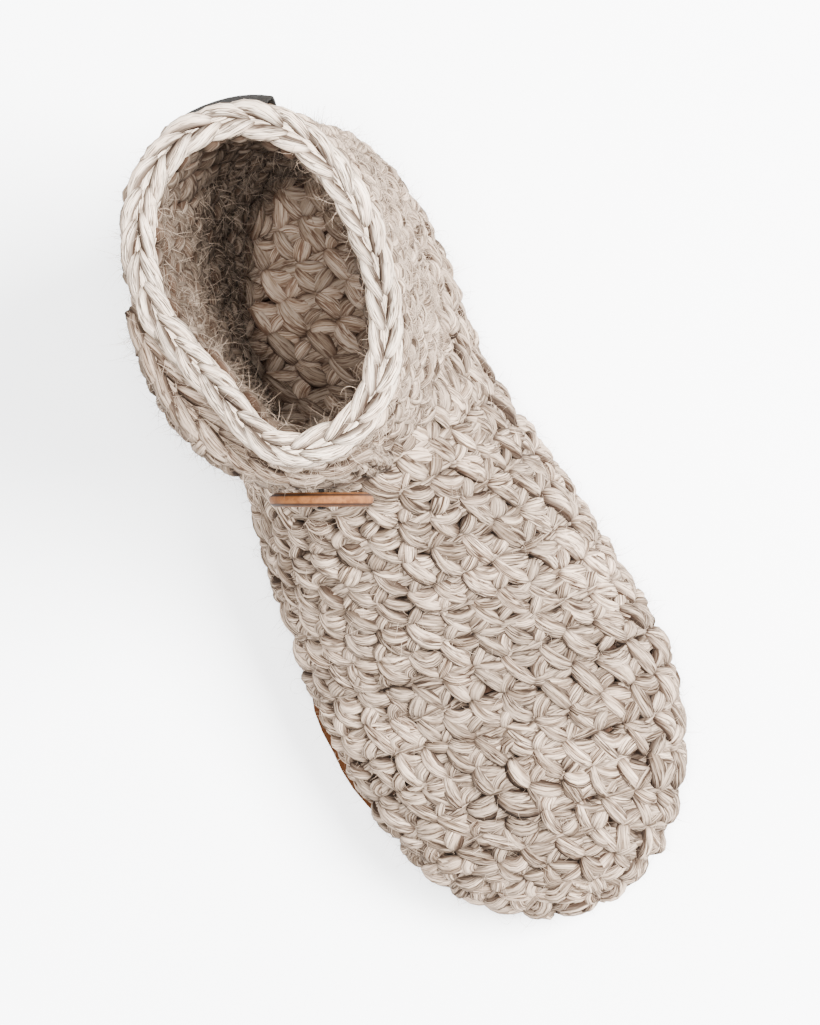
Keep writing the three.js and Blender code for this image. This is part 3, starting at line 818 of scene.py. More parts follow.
def foot_cloth(row_pitch):
    """Cloth of the foot, from one row behind the instep to the toe, and its number of rows."""
    tree = solid_tree("upper")
    toe_centre = np.array([TOE_START, foot_middle(tree, TOE_START), FOOT_LEVEL])
    turns = np.linspace(0, TAU, 96, endpoint=False)
    line = []
    for x in np.linspace(INSTEP[0], toe_centre[0], 60):
        line.append(hit(tree, (x, foot_middle(tree, x) + 2, 300), (0, 0, -1)))
    back_rows = int(round(np.linalg.norm(np.diff(line, axis=0), axis=1).sum() / row_pitch))
    rings = []
    for i, (x, _, height) in enumerate(spaced(line, back_rows * FINE + 1, False)[:-1]):
        lean = INSTEP_SLOPE * (1 - i / (back_rows * FINE))
        centre = np.array([x, foot_middle(tree, x), 4 + 0.45 * (height - 4)])
        centre[0] += lean * (centre[2] - height)
        ring = [hit_towards(tree, centre, (-lean * math.cos(t), -math.sin(t), -math.cos(t))) for t in turns]
        rings.append(spaced(ring, FOOT_POINTS, True))
    paths = []
    for t in turns:
        path = []
        for rise in np.radians(np.linspace(90, 5, 40)):
            aim = (math.cos(rise), -math.sin(rise) * math.sin(t), -math.sin(rise) * math.cos(t))
            path.append(hit_towards(tree, toe_centre, aim))
        paths.append(path)
    steps = np.linalg.norm(np.diff(paths, axis=1), axis=2).sum(axis=1)
    over_top = slice(30, 67)
    toe_rows = int(round(steps[over_top].mean() / row_pitch))
    paths = np.array([spaced(path, toe_rows * FINE + 1, False) for path in paths])
    rings += [spaced(paths[:, k], FOOT_POINTS, True) for k in range(toe_rows * FINE + 1)]
    rows = back_rows + toe_rows
    step = rings[0] - rings[2]
    behind = [rings[0] + step * (k / 2) for k in range(FINE, 0, -1)]
    return Cloth(behind + rings, True), rows


def shaft_point(z, turn, inside=False):
    """Point of the shaft's face at a level and turn about its axis."""
    aim = (math.cos(turn), math.sin(turn), 0)
    axis = (SHAFT_AXIS[0], SHAFT_AXIS[1], z)
    if inside:
        return hit(solid_tree("upper"), axis, aim)
    return hit_towards(solid_tree("upper"), axis, aim)


def even_turns(z, inside):
    """Turns about the shaft that are equally far apart along its face at a level, and its girth there."""
    turns = np.linspace(-math.pi / 2, 1.5 * math.pi, 361)
    ring = np.array([shaft_point(z, turn, inside) for turn in turns])
    along = run_along(ring)
    return np.interp(np.linspace(0, along[-1], 181)[:-1], along, turns), along[-1]


def heel_border(z):
    """How far forward the rows of the heel reach at a level."""
    return INSTEP[0] + INSTEP_SLOPE * (z - INSTEP[1])


def shaft_cloth(row_pitch):
    """Cloth of the shaft and heel from the collar down to the sole, its number of rows and its girth."""
    turns, girth = even_turns(SHAFT_WAIST, False)
    top, low = SHAFT_ROWS
    rows = int(round((top - low) / row_pitch))
    rings = []
    for z in np.linspace(top, low, rows * FINE + 1):
        rings.append([shaft_point(z, turn) for turn in turns])
    return Cloth(rings, True), rows, girth


def collar_cloth():
    """Round top of the collar: rows go across its edge from the inside to the outside."""
    turns = np.linspace(-math.pi, math.pi, EDGE_POINTS, endpoint=False)
    outer = np.array([shaft_point(COLLAR_EDGE, turn) for turn in turns])
    inner = np.array([shaft_point(COLLAR_EDGE, turn, True) for turn in turns])
    return edge_cloth(inner, outer, np.array([0.0, 0.0, COLLAR_TOP - COLLAR_EDGE]), True)


def edge_cloth(near, far, over, closed):
    """Cloth bent round an edge, from its near face over the edge to its far face."""
    middle = (near + far) / 2
    across = (far - near) / 2
    rows = []
    for angle in np.radians(np.linspace(-100, 100, 21)):
        rows.append(middle + across * math.sin(angle) * 1.02 + over * math.cos(angle))
    rows = np.array([spaced(row, EDGE_POINTS, closed) for row in rows])
    return Cloth(rows, closed, smooth=1, centre=spaced(middle, EDGE_POINTS, closed)[None])


def flap_hit(turn, z, inside=False):
    """Point of the flap's face at a level and turn about the shaft, or None."""
    aim = np.array([math.cos(turn), math.sin(turn), 0])
    axis = np.array([SHAFT_AXIS[0], SHAFT_AXIS[1], z])
    if inside:
        return hit(solid_tree("flap"), axis, aim, 120)
    return hit(solid_tree("flap"), axis + aim * 120, -aim, 120)


@functools.lru_cache(maxsize=None)
def flap_outline():
    """Lowest and highest level of the flap at each turn about the shaft."""
    table = []
    for turn in np.radians(np.linspace(FLAP_FROM, FLAP_TO, 121)):
        levels = [z for z in np.linspace(58, 172, 229) if flap_hit(turn, z) is not None]
        if len(levels) > 40:
            table.append((turn, levels[0], levels[-1]))
    return np.array(table)


def flap_cloth(wide=61, tall=60):
    """Face of the flap, upright rows from its root to its free end, and its length; shares run upwards."""
    columns = []
    for turn, low, high in flap_outline():
        column = [flap_hit(turn, z) for z in np.linspace(low + 0.2, high - 0.2, 90)]
        columns.append(spaced([p for p in column if p is not None], tall, False))
    columns = np.array(columns)
    along = run_along(columns[:, 40])
    at = np.linspace(0, along[-1], wide)
    even = np.empty((wide, tall, 3))
    for j, k in np.ndindex(tall, 3):
        even[:, j, k] = np.interp(at, along, columns[:, j, k])
    axis = even.copy()
    axis[..., :2] = SHAFT_AXIS
    return Cloth(even, False, smooth=2, centre=axis), along[-1]


def flap_edge_cloth(inset=3.0):
    """Edge of the flap: along its top, down its free end and back along its bottom."""
    outline = flap_outline()
    turns, low, high = outline[:, 0], outline[:, 1] + inset, outline[:, 2] - inset
    last = turns[-1] - inset / 48
    at = np.linspace(turns[0], last, 90)
    top = np.column_stack([at, np.interp(at, turns, high)])
    corner = np.argmin(low[:len(low) // 4])
    at = np.linspace(turns[corner], last, 90)
    bottom = np.column_stack([at, np.interp(at, turns, low)])[::-1]
    end = np.column_stack([np.full(38, last), np.linspace(top[-1, 1], bottom[0, 1], 40)[1:-1]])
    near, far = [], []

    def run_out(place, back, rise):
        """The edge sinks into the wall behind the flap's root."""
        turn, z = place[0] - back, place[1]
        near.append(shaft_point(z, turn))
        far.append(near[-1] + np.array([math.cos(turn), math.sin(turn), 0]) * rise)

    run_out(top[0], 0.15, 2.0)
    run_out(top[0], 0.07, 4.0)
    for i, (turn, z) in enumerate(np.vstack([top, end, bottom])):
        inner, outer = flap_hit(turn, z, True), flap_hit(turn, z)
        if i < len(top) and inner is not None:
            inner = 0.9 * shaft_point(z, turn) + 0.1 * inner
        if inner is not None and outer is not None:
            near.append(inner)
            far.append(outer)
    run_out(bottom[-1], 0.07, 4.0)
    run_out(bottom[-1], 0.15, 2.0)
    near, far = np.array(near), np.array(far)
    along = eased(np.gradient((near + far) / 2, axis=0), 12, False)
    over = unit(np.cross(along, far - near)) * inset
    if over[:60, 2].mean() < 0:
        over = -over
    return edge_cloth(near, far, over, False)


@functools.lru_cache(maxsize=None)
def sole_outline():
    """Points round the edge of the sole on the floor, and which way is inward at each."""
    tree = solid_tree("sole")
    (x_low, *_), (x_high, *_) = (np.array(corner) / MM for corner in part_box("sole"))
    lateral, medial = [], []
    ends = 0.5 - 0.5 * np.cos(np.linspace(0.06, math.pi - 0.06, 90))
    for x in x_low + ends * (x_high - x_low):
        covered = [y for y in np.linspace(-75, 75, 301) if hit(tree, (x, y, -20), (0, 0, 1)) is not None]
        lateral.append((x, covered[0], 0.0))
        medial.append((x, covered[-1], 0.0))
    outline = eased(spaced(lateral + medial[::-1], 400, True), 6, True)
    along = unit(np.roll(outline, -1, 0) - np.roll(outline, 1, 0))
    return outline, np.cross(np.array([0, 0, 1.0]), along)


def edge_row_cloth():
    """Wool just above the edge of the sole: four rows of points that go round it."""
    sole, upper = solid_tree("sole"), solid_tree("upper")
    rows = []
    for rise in (0.4, 2.4, 4.4, 6.4):
        row = []
        for place, inward in zip(*sole_outline()):
            lip = max((hit(sole, (*(place + inward * d)[:2], 40), (0, 0, -1)) for d in (0.8, 1.6)),
                      key=lambda p: -1 if p is None else p[2])
            level = (0.0 if lip is None else lip[2]) + rise
            start = place - inward * 30 + np.array([0, 0, level])
            found = hit(upper, start, inward, 60)
            row.append(place + np.array([0, 0, level]) if found is None else found)
        rows.append(row)
    return Cloth(rows, True, smooth=4)


def above_sole(spines):
    """Spines held clear of the suede below them."""
    tree = solid_tree("sole")
    flat = spines.reshape(-1, 3)
    for i in np.nonzero(flat[:, 2] < 16)[0]:
        top = hit(tree, (flat[i, 0], flat[i, 1], 40), (0, 0, -1))
        if top is not None:
            flat[i, 2] = max(flat[i, 2], top[2] + 2.0)
    return flat.reshape(spines.shape)


def beside_sole(spines, faces):
    """Spines drawn in by up to 1 mm at the lateral ball, where the sole's edge shows, and kept off it."""
    x, y, z = np.moveaxis(spines, -1, 0)
    # From 5 to 95 mm along the foot, past 15 mm to the lateral side and below 60 mm, with soft borders.
    drawn = np.clip((x - 5) / 20, 0, 1) * np.clip((95 - x) / 20, 0, 1)
    drawn *= np.clip((-15 - y) / 12, 0, 1) * np.clip((60 - z) / 20, 0, 1)
    return above_sole(spines - faces * drawn[..., None] * np.array([1, 1, 0]))


def behind_label(spines, faces):
    """Spines kept under the collar's chain, pressed in behind the label and held clear of the suede."""
    middle, low, high = LABEL_PLACE
    spines = spines.copy()
    spines[..., 2] -= 0.7 * np.clip(spines[..., 2] - COLLAR_CHAIN, 0, None)
    turn = np.degrees(np.arctan2(spines[..., 1] - SHAFT_AXIS[1], spines[..., 0] - SHAFT_AXIS[0]))
    # Behind the label and a little beyond it, with soft borders.
    off = np.abs(np.mod(turn - middle + 180, 360) - 180)
    under = np.clip((17 - off) / 5, 0, 1) * np.clip((spines[..., 2] - low + 8) / 5, 0, 1)
    under *= np.clip((high + 6 - spines[..., 2]) / 5, 0, 1)
    return above_sole(spines - faces * (under * 2.0)[..., None])


# Operators.

class SLIPPER_OT_wool_wall(bpy.types.Operator):
    """Walls of the upper and the flap behind their stitches"""

    bl_idname = "slipper.wool_wall"
    bl_label = "Wool wall"

    def execute(self, context):
        material = backing_material(context.scene.slipper_wool)
        for source, name, inset in (("upper", "wool_wall", 3.0), ("flap", "flap_wall", 1.5)):
            bm = merged_copy(source)
            for vert in bm.verts:
                if vert.normal.z > -0.6 or vert.co.z > 0.012:
                    vert.co -= vert.normal * inset * MM
            piece = piece_of(bm, name)
            dressed(piece, material)
            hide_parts(source)
        return {"FINISHED"}


def edge_row(tip, settings):
    """Last row of wool above the sole, with three strands that close the toe at its tip."""
    rng = rng_for("edge_row")
    ground = edge_row_cloth()
    count = int(round(ground.girth(1.5) / (settings.stitch_pitch / MM)))
    t = STRAND_T[None]
    share = (np.arange(count)[:, None] + 1.7 * t + rng.normal(0, 0.05, (count, 1))) / count
    slope = 1.0 + 1.2 * t + rng.normal(0, 0.12, (count, 1))
    point, out = ground.place(slope, share)
    lift = arch(t, -2.2, 1.9)
    spines = point + out * np.broadcast_to(lift, slope.shape)[..., None]
    closing = []
    for drop in (-4.5, 0.0, 4.5):
        across = hit_towards(solid_tree("upper"), tip - np.array([30, 0, 0]), (30, 0, drop))
        closing.append(across + np.outer(14 * STRAND_T - 7, (0, 1, 0)) + np.outer(lift[0] - 0.3, (1, 0, 0)))
    spines = np.concatenate([spines, closing])
    ahead = np.broadcast_to(np.array([1.0, 0, 0]), (len(closing), STRAND_RINGS, 3))
    width = 0.9 * settings.yarn_width / MM * (1 + rng.normal(0, 0.08, len(spines)))
    tone = rng.random(len(spines))
    return strand_mesh("edge_row", spines, np.concatenate([out, ahead]), width, 0.8 * width, tone)


class SLIPPER_OT_foot_stitches(bpy.types.Operator):
    """Crochet of the toe, the vamp and the sides of the foot, and its last row above the sole"""

    bl_idname = "slipper.foot_stitches"
    bl_label = "Foot stitches"

    def execute(self, context):
        settings = context.scene.slipper_wool
        cloth, rows = foot_cloth(settings.row_pitch / MM)
        places = [FINE * (i + 1.3) for i in range(rows)] + [FINE * (rows + 0.98)]
        counts = stitch_counts(cloth, places, settings.stitch_pitch / MM, least=5)
        piece = crochet("foot_stitches", cloth, places, counts,
                        lambda p, n: (n[:, 2] > -0.35) | (p[:, 2] > 10), settings, press=beside_sole)
        for made in (piece, edge_row(cloth.grid[-1].mean(axis=0), settings)):
            dressed(made, wool("stitches"))
        return {"FINISHED"}


class SLIPPER_OT_shaft_stitches(bpy.types.Operator):
    """Crochet of the shaft and the heel"""

    bl_idname = "slipper.shaft_stitches"
    bl_label = "Shaft and heel stitches"

    def execute(self, context):
        settings = context.scene.slipper_wool
        cloth, rows, girth = shaft_cloth(settings.row_pitch / MM)
        places = [FINE * (i + 0.3) for i in range(rows)]
        counts = [int(round(girth / (settings.stitch_pitch / MM)))] * rows
        flap = solid_tree("flap")

        def keep(points, facing):
            lifted = points + np.array([0, 0, 7.0])
            bare = np.array([hit(flap, p, n, 9.0) is None or hit(flap, q, n, 9.0) is None
                             for p, q, n in zip(points, lifted, facing)])
            lap = np.where(points[:, 2] < INSTEP[1] + 3, 5.0, 500.0)
            return bare & (points[:, 0] < heel_border(points[:, 2]) + lap)

        piece = crochet("shaft_stitches", cloth, places, counts, keep, settings, press=behind_label)
        dressed(piece, wool("stitches"))
        return {"FINISHED"}


class SLIPPER_OT_collar_chain(bpy.types.Operator):
    """Chain of pale stitches round the collar"""

    bl_idname = "slipper.collar_chain"
    bl_label = "Collar chain"

    def execute(self, context):
        piece = chain("collar_chain", collar_cloth(), 10.0, context.scene.slipper_wool)
        dressed(piece, wool("chain"))
        return {"FINISHED"}


class SLIPPER_OT_flap_stitches(bpy.types.Operator):
    """Upright ribs of the flap, the strands at its root and the chain that edges it"""

    bl_idname = "slipper.flap_stitches"
    bl_label = "Flap stitches"

    # Widths of a rib of V stitches and of the row of slanted strands beside it, in millimetres.
    rib = 10.5
    bar = 7.0

    def execute(self, context):
        settings = context.scene.slipper_wool
        cloth, reach = flap_cloth()
        per_row = reach / (cloth.grid.shape[0] - 1)
        rng = rng_for("flap_stitches")
        t = STRAND_T[None]
        lift = arch(t, -2.2, 1.3)
        spines, facings, widths = [], [], []

        def lay(row, share, width):
            point, out = cloth.place(row / per_row, share)
            spines.append(point + out * np.broadcast_to(lift, share.shape)[..., None])
            facings.append(out)
            widths.append(width * (1 + rng.normal(0, 0.07, len(share))))

        count = int(round(reach / (self.rib + self.bar)))
        pair = reach / count
        for i in range(count):
            rib_at = (i + 0.68) * pair
            tall = cloth.girth(rib_at / per_row)
            links = int(round(tall / 9.5))
            for side in (-1, 1):
                jitter = rng.normal(0, 0.05, (links, 2))
                share = (np.arange(links)[:, None] + 0.12 * side + jitter[:, :1] + 1.35 * t - 0.2) / links
                lean = 0.05 + 0.4 * np.sin(0.5 * np.pi * t) + 0.05 * jitter[:, 1:]
                lay(rib_at + side * self.rib * lean, share, 0.92)
            bar_at = (i + 0.18) * pair
            tall = cloth.girth(bar_at / per_row)
            links = int(round(tall / 6.2))
            jitter = rng.normal(0, 0.06, (links, 2))
            share = (np.arange(links)[:, None] + jitter[:, :1] + 0.1 + t) / links
            lay(bar_at + self.bar * (0.62 - 1.24 * t + 0.1 * jitter[:, 1:]), share, 0.84)
        outline = flap_outline()
        begin, finish, out = [], [], []
        for z in np.arange(outline[:len(outline) // 4, 1].min() + 2.5, outline[0, 2] - 1.5, 4.6):
            root = outline[outline[:, 1] <= z][0, 0]
            seats = (flap_hit(root + further, z) for further in (0.12, 0.06, 0.02))
            seat = next((place for place in seats if place is not None), None)
            if seat is not None:
                begin.append(shaft_point(z + 3.0, root - 0.17))
                finish.append(seat)
                out.append((math.cos(root), math.sin(root), 0.0))
        begin, finish, out = (np.array(points)[:, None] for points in (begin, finish, out))
        swing = np.sin(np.pi * t)[..., None]
        spines.append(begin + (finish - begin) * t[..., None] + out * (2.6 * swing - 1.9))
        facings.append(np.broadcast_to(out, spines[-1].shape))
        widths.append(1 + rng.normal(0, 0.08, len(begin)))
        width = np.concatenate(widths) * settings.yarn_width / MM
        spines, facings = np.concatenate(spines), np.concatenate(facings)
        keep_roots("flap_stitches", spines, facings)
        face = strand_mesh("flap_stitches", spines, facings, width, width * 0.6, rng.random(len(width)))
        edge = chain("flap_edge", flap_edge_cloth(), 9.0, settings)
        for piece in (face, edge):
            dressed(piece, wool("flap"))
        return {"FINISHED"}


class SLIPPER_OT_inside_stitches(bpy.types.Operator):
    """Crochet that shows inside the shaft and on the floor of the foot"""

    bl_idname = "slipper.inside_stitches"
    bl_label = "Inside stitches"

    def execute(self, context):
        settings = context.scene.slipper_wool
        tree = solid_tree("upper")
        turns, girth = even_turns(SHAFT_WAIST, True)
        pitch = settings.row_pitch / MM
        top, low = INSIDE_ROWS
        rows = int(round((top - low) / pitch))
        rings = []
        for z in np.linspace(top, low, rows * FINE + 1):
            axis = np.array([SHAFT_AXIS[0], SHAFT_AXIS[1], z])
            offsets = np.array([shaft_point(z, turn, True) for turn in turns]) - axis
            far = np.linalg.norm(offsets, axis=1, keepdims=True)
            rings.append(axis + offsets * np.minimum(1.0, 50.0 / far))
        cloth = Cloth(rings, True, inward=True)
        places = [FINE * (i + 0.5) for i in range(rows)]
        counts = [int(round(girth / (settings.stitch_pitch / MM)))] * rows
        wall = crochet("inside_wall_stitches", cloth, places, counts,
                       lambda p, n: (p[:, 2] > 82) | (p[:, 0] < -48), settings, scale=0.95, under=False)
        strips = []
        for x in np.linspace(GROUND_START, GROUND_START + GROUND_ROWS * pitch, GROUND_ROWS * FINE + 1):
            middle = foot_middle(tree, x)
            strip = []
            for angle in np.radians(np.linspace(-176, -4, 80)):
                place = hit(tree, (x, middle, 30), (0, math.cos(angle), math.sin(angle)))
                strip.append(place if place is not None else np.array([x, middle, 10]))
            strips.append(spaced(strip, 120, False))
        ground = Cloth(strips, False, centre=np.array(strips) - np.array([0, 0, 100.0]))
        places = [FINE * (i + 0.5) for i in range(GROUND_ROWS)]
        counts = stitch_counts(ground, places, settings.stitch_pitch / MM)
        floor = crochet("inside_floor_stitches", ground, places, counts,
                        lambda p, n: p[:, 2] < 60, settings, scale=1.05)
        for piece, kind in ((wall, "wall"), (floor, "ground")):
            dressed(piece, wool(kind))
        return {"FINISHED"}


def hairs_on(name, pieces, count, stand, longest, thick, level=1.0, curl=0.0):
    """Fine hairs that grow from the strands of some pieces, bent or in loose curls.

    stand is 1 for hairs that stand off and near 0 for hairs that lie down, and level is how pale they are.
    In millimetres, longest is the greatest length, thick the radius at the root and curl that of a curl.
    """
    if any(piece not in FIBRE_ROOTS for piece in pieces):
        raise RuntimeError("the stitches come before the hairs")
    rng = rng_for(name)
    points = np.concatenate([FIBRE_ROOTS[piece][0] for piece in pieces])
    facing = np.concatenate([FIBRE_ROOTS[piece][1] for piece in pieces])
    clear = points[:, 2] > HAIR_LOW
    for trim, reach in HAIR_FREE:
        middle = np.mean(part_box(trim), axis=0) / MM
        clear &= np.linalg.norm(points - middle, axis=1) > reach
    points, facing = points[clear], facing[clear]
    picked = rng.integers(0, len(points), count)
    root, out = points[picked], facing[picked]
    aim = unit(out * rng.uniform(0.2, 1.2, (count, 1)) * stand + rng.normal(0, 0.75, (count, 3)))
    aim = unit(aim + out * np.maximum(0.12 * stand - np.sum(aim * out, axis=1, keepdims=True), 0))
    bend = unit(np.cross(aim, rng.normal(0, 1, (count, 3))))
    beside = np.cross(aim, bend)
    size = np.minimum(rng.gamma(2.4, longest * 0.19, (count, 1)) + 0.15 * longest, longest)
    steps = 10 if curl else 4
    loop = rng.uniform(3.0, 9.0, (count, 1))
    radius = curl * rng.uniform(0.5, 1.5, (count, 1))
    rings = []
    for t in np.linspace(0, 1, steps):
        spine = root + out * 1.6 + aim * size * t
        if curl:
            turned = bend * (np.cos(loop * t) - 1) + beside * np.sin(loop * t)
            spine += radius * turned - aim * size * 0.4 * t
        else:
            spine += bend * size * 0.6 * t * t
        for turn in (0, TAU / 3, 2 * TAU / 3):
            rings.append(spine + thick * (1 - 0.7 * t) * (bend * math.cos(turn) + beside * math.sin(turn)))
    last = 3 * steps
    faces = [(2, 1, 0), (last - 3, last - 2, last - 1)]
    for k in range(steps - 1):
        for j in range(3):
            a, b = 3 * k + j, 3 * k + (j + 1) % 3
            faces += [(a, b, b + 3), (a, b + 3, a + 3)]
    base = np.arange(count)[:, None, None] * last
    tone = np.repeat(rng.random(count), last)
    verts = np.stack(rings, axis=1).reshape(-1, 3)
    piece = joined(name, verts, (base + np.array(faces)[None]).reshape(-1, 3), {"tone": tone})
    material, tree, surface = shader(name)
    settings = bpy.context.scene.slipper_wool
    shade = span(tree, attribute(tree, "tone"), 0.2, 0.95)
    colour = mixed(tree, shade, scaled(settings.middle, 0.6 * level), scaled(settings.light, level))
    tree.links.new(colour, surface.inputs["Base Color"])
    fixed(surface, Roughness=0.8, Specular_IOR_Level=0.1)
    dressed(piece, material)


class SLIPPER_OT_loose_fibres(bpy.types.Operator):
    """Fine hairs and curls that stand off the wool, and felted fuzz that lies on the wall and the flap"""

    bl_idname = "slipper.loose_fibres"
    bl_label = "Loose fibres"

    def execute(self, context):
        settings = context.scene.slipper_wool
        outside = ("foot_stitches", "shaft_stitches", "collar_chain", "flap_stitches", "flap_edge")
        felted = ("shaft_stitches", "flap_stitches", "flap_edge")
        half = settings.fuzz // 2
        hairs_on("loose_fibres", outside, settings.fibres, stand=1.0, longest=8.0, thick=0.055)
        hairs_on("loose_curls", outside, settings.curls, stand=1.0, longest=14.0, thick=0.05, curl=2.0)
        # The fuzz inside is darkened to under half its brightness: painted shade.
        hairs_on("inside_fuzz", ("inside_wall_stitches",), half,
                 stand=0.25, longest=6.5, thick=0.1, level=0.45)
        hairs_on("outside_fuzz", felted, settings.fuzz - half,
                 stand=0.25, longest=5.0, thick=0.07, level=0.85)
        return {"FINISHED"}


def running_stitch(settings):
    """Stitches on the lower face of the sole near its edge, nearer to it where less of the edge curls up."""
    tree = solid_tree("sole")
    outline, inward = sole_outline()
    inset = []
    for place, aim in zip(outline, inward):
        depth = settings.seam_inset / MM
        while depth > 2.5 and hit(tree, (*(place + aim * depth)[:2], -20), (0, 0, 1))[2] < 0.75:
            depth -= 0.25
        inset.append(depth)
    seam = outline + inward * eased(inset, 20, True)[:, None]
    girth = np.linalg.norm(np.diff(np.vstack([seam, seam[:1]]), axis=0), axis=1).sum()
    pitch = settings.stitch_length + settings.stitch_gap
    count = int(round(girth / (pitch / MM)))
    fine = spaced(seam, count * 20, True).reshape(count, 20, 3)
    share = settings.stitch_length / pitch
    spines = fine[:, np.round(np.linspace(0, 20 * share - 1, STRAND_RINGS)).astype(int)]
    for spine in spines:
        for k, place in enumerate(spine):
            under = hit(tree, (place[0], place[1], -20), (0, 0, 1))
            place[2] = max(0.48, under[2] - 0.05 + (0.5 if k in (0, STRAND_RINGS - 1) else 0.0))
    facing = np.broadcast_to(np.array([0, 0, -1.0]), spines.shape)
    width, depth, tone = np.full(count, 1.5), np.full(count, 0.7), np.linspace(0, 1, count)
    return strand_mesh("running_stitch", spines, facing, width, depth, tone, tip=0.5)


class SLIPPER_OT_sole(bpy.types.Operator):
    """Suede sole and its blue running stitch"""

    bl_idname = "slipper.sole"
    bl_label = "Suede sole"

    def execute(self, context):
        settings = context.scene.slipper_sole
        bm = merged_copy("sole")
        # 1 on faces that look up and 0 on faces that look down: the mask of the painted shade.
        painted_top_shade = [min(1.0, max(0.0, (vert.normal.z + 0.3) / 0.6)) for vert in bm.verts]
        piece = piece_of(bm, "suede_sole", 50)
        add_values(piece.data, "painted_top_shade", painted_top_shade)
        dressed(piece, suede_material(settings))
        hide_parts("sole")

        stitches = running_stitch(settings)
        dressed(stitches, thread_material("blue_thread", settings.thread))
        return {"FINISHED"}


def main_axes(points):
    """Axes of a set of points, from the one in which it is thinnest to the one in which it is longest."""
    return np.linalg.eigh(np.cov((points - points.mean(axis=0)).T))[1]


def sewing_thread(thread, centre, axis, holes, grain, spread):
    """Three turns of thread through the holes of the button: a bar over its face and a leg in each hole."""
    depth = (thread - centre) @ axis
    back, front = depth.min(), depth.max()
    t = STRAND_T
    hump = np.sin(np.pi * t)
    middle = thread.mean(axis=0)
    middle = middle - axis * ((middle - centre) @ axis)
    spines = []
    for k in range(3):
        spines.append(middle + np.outer(spread * (2 * t - 1), holes) + grain * ((k - 1) * 0.62)
                      + np.outer(front - 0.55 + 0.2 * hump, axis))
        twist = TAU * (k / 3 + 0.6 * t)
        for side in (-1, 1):
            leg = middle + side * spread * holes + np.outer(back + (front - back - 0.4) * t, axis)
            spines.append(leg + 0.3 * (np.outer(np.cos(twist), holes) + np.outer(np.sin(twist), grain)))
    spines = np.array(spines)
    facing = np.where(np.arange(len(spines))[:, None, None] % 3 == 0, axis, grain) + 0 * spines
    width = np.full(len(spines), 0.72)
    return strand_mesh("sewing_thread", spines, facing, width, width, np.linspace(0, 1, len(spines)), tip=0.8)


class SLIPPER_OT_trim(bpy.types.Operator):
    """Wooden button, its thread and the woven label"""

    bl_idname = "slipper.trim"
    bl_label = "Button and label"

    def execute(self, context):
        settings = context.scene.slipper_trim
        button = piece_of(merged_copy("button"), "wooden_button", 35)
        verts = np.array([v.co for v in button.data.vertices]) / MM
        low, high = (np.array(corner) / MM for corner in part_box("button"))
        centre = (low + high) / 2
        axis = main_axes(verts)[:, 0]
        axis = axis if axis[0] > 0 else -axis
        thread = np.array([v.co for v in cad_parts["button_thread"].data.vertices]) / MM
        holes = main_axes(thread)[:, 2]
        holes = unit(holes - axis * holes.dot(axis))
        grain = np.cross(axis, holes)
        add_values(button.data, "wood", (verts - centre) @ np.stack([holes, grain, axis], axis=1) / 10)
        dressed(button, wood_material(settings))
        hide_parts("button")

        cord = sewing_thread(thread, centre, axis, holes, grain, settings.hole_spacing / MM / 2)
        dressed(cord, thread_material("dark_thread", settings.thread))
        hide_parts("button_thread")

        label = piece_of(merged_copy("heel_label"), "woven_label", 50)
        dressed(label, label_material(settings))
        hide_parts("heel_label")
        return {"FINISHED"}


# Light of the room, and lamps: name, place and size in metres, and power in watts.
ROOM_COLOUR = (0.97, 0.985, 1.0, 1)
ROOM_STRENGTH = 1.85
LAMPS = (
    ("softbox", (0.05, 1.0, 1.35), 0.8, 195.0),
    ("overhead", (-0.05, 0.05, 1.7), 0.4, 80.0),
)
LAMP_AIM = Vector((0, 0, 0.05))
# The point of the slipper in the middle of the picture, in metres.
PICTURE_CENTRE = Vector((-0.0046, -0.0008, 0.07))


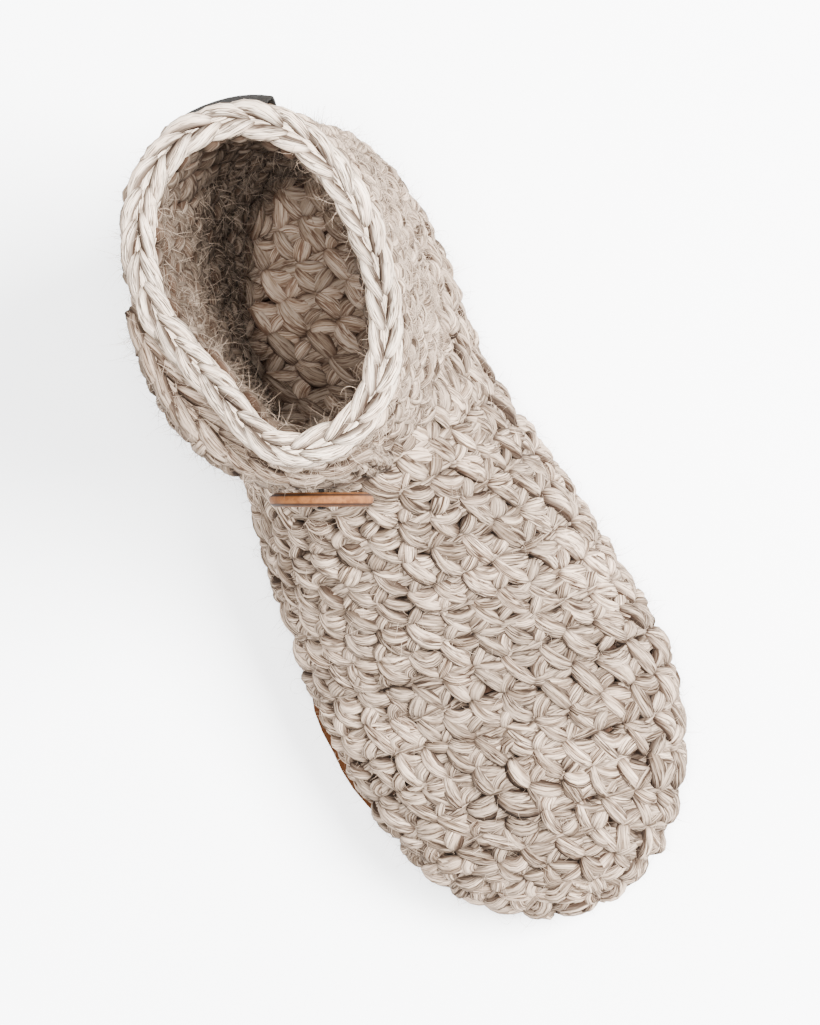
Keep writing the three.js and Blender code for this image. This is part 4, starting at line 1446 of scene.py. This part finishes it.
class SLIPPER_OT_stage(bpy.types.Operator):
    """Pale floor, soft lights and the camera"""

    bl_idname = "slipper.stage"
    bl_label = "Stage"

    def execute(self, context):
        settings = context.scene.slipper_stage
        bm = bmesh.new()
        bmesh.ops.create_grid(bm, x_segments=1, y_segments=1, size=4.0)
        floor = piece_of(bm, "floor")
        material, _, surface = shader("pale_floor")
        fixed(surface, Base_Color=(*settings.floor, 1), Roughness=0.9, Specular_IOR_Level=0.1)
        floor.data.materials.append(material)

        world = bpy.data.worlds.new("soft_room")
        world.use_nodes = True
        fixed(world.node_tree.nodes["Background"], Color=ROOM_COLOUR, Strength=ROOM_STRENGTH)
        context.scene.world = world

        for name, place, size, power in LAMPS:
            lamp = bpy.data.lights.new(name, "AREA")
            lamp.size = size
            lamp.energy = power
            light = bpy.data.objects.new(name, lamp)
            light.location = place
            aim = LAMP_AIM - Vector(place)
            light.rotation_euler = aim.to_track_quat("-Z", "Y").to_euler()
            context.scene.collection.objects.link(light)

        camera = bpy.data.cameras.new("camera")
        camera.lens = settings.focal
        camera.sensor_width = 36.0
        camera.clip_start = 0.01
        camera.clip_end = 20
        eye = bpy.data.objects.new("camera", camera)
        place = Vector((settings.camera_x, settings.camera_y, settings.camera_height))
        back = (place - PICTURE_CENTRE).normalized()
        right = Vector((math.sin(settings.turn), math.cos(settings.turn), 0))
        right = (right - back * right.dot(back)).normalized()
        up = back.cross(right)
        eye.matrix_world = Matrix.Translation(place) @ Matrix((right, up, back)).transposed().to_4x4()
        context.scene.collection.objects.link(eye)
        context.scene.camera = eye
        return {"FINISHED"}


OPERATORS = (
    SLIPPER_OT_wool_wall,
    SLIPPER_OT_foot_stitches,
    SLIPPER_OT_shaft_stitches,
    SLIPPER_OT_collar_chain,
    SLIPPER_OT_flap_stitches,
    SLIPPER_OT_inside_stitches,
    SLIPPER_OT_loose_fibres,
    SLIPPER_OT_sole,
    SLIPPER_OT_trim,
    SLIPPER_OT_stage,
)
SETTINGS = (
    ("slipper_wool", SlipperWoolSettings),
    ("slipper_sole", SlipperSoleSettings),
    ("slipper_trim", SlipperTrimSettings),
    ("slipper_stage", SlipperStageSettings),
)


class SLIPPER_PT_panel(bpy.types.Panel):
    """Pieces of the slipper and their sizes and colours"""

    bl_idname = "SLIPPER_PT_panel"
    bl_label = "House slipper"
    bl_space_type = "VIEW_3D"
    bl_region_type = "UI"
    bl_category = "Slipper"

    def draw(self, context):
        for key, group in SETTINGS:
            box = self.layout.box()
            settings = getattr(context.scene, key)
            for name in group.__annotations__:
                box.prop(settings, name)
        for operator in OPERATORS:
            self.layout.operator(operator.bl_idname)


def register():
    """Adds the settings, operators and panel."""
    for key, group in SETTINGS:
        bpy.utils.register_class(group)
        setattr(bpy.types.Scene, key, PointerProperty(type=group))
    for cls in (*OPERATORS, SLIPPER_PT_panel):
        bpy.utils.register_class(cls)


def unregister():
    """Takes them away again."""
    for cls in reversed((*OPERATORS, SLIPPER_PT_panel)):
        bpy.utils.unregister_class(cls)
    for key, group in SETTINGS:
        delattr(bpy.types.Scene, key)
        bpy.utils.unregister_class(group)


def main():
    """Builds every piece."""
    register()
    for operator in OPERATORS:
        family, action = operator.bl_idname.split(".")
        getattr(getattr(bpy.ops, family), action)()
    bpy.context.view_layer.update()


if __name__ == "__main__":
    main()
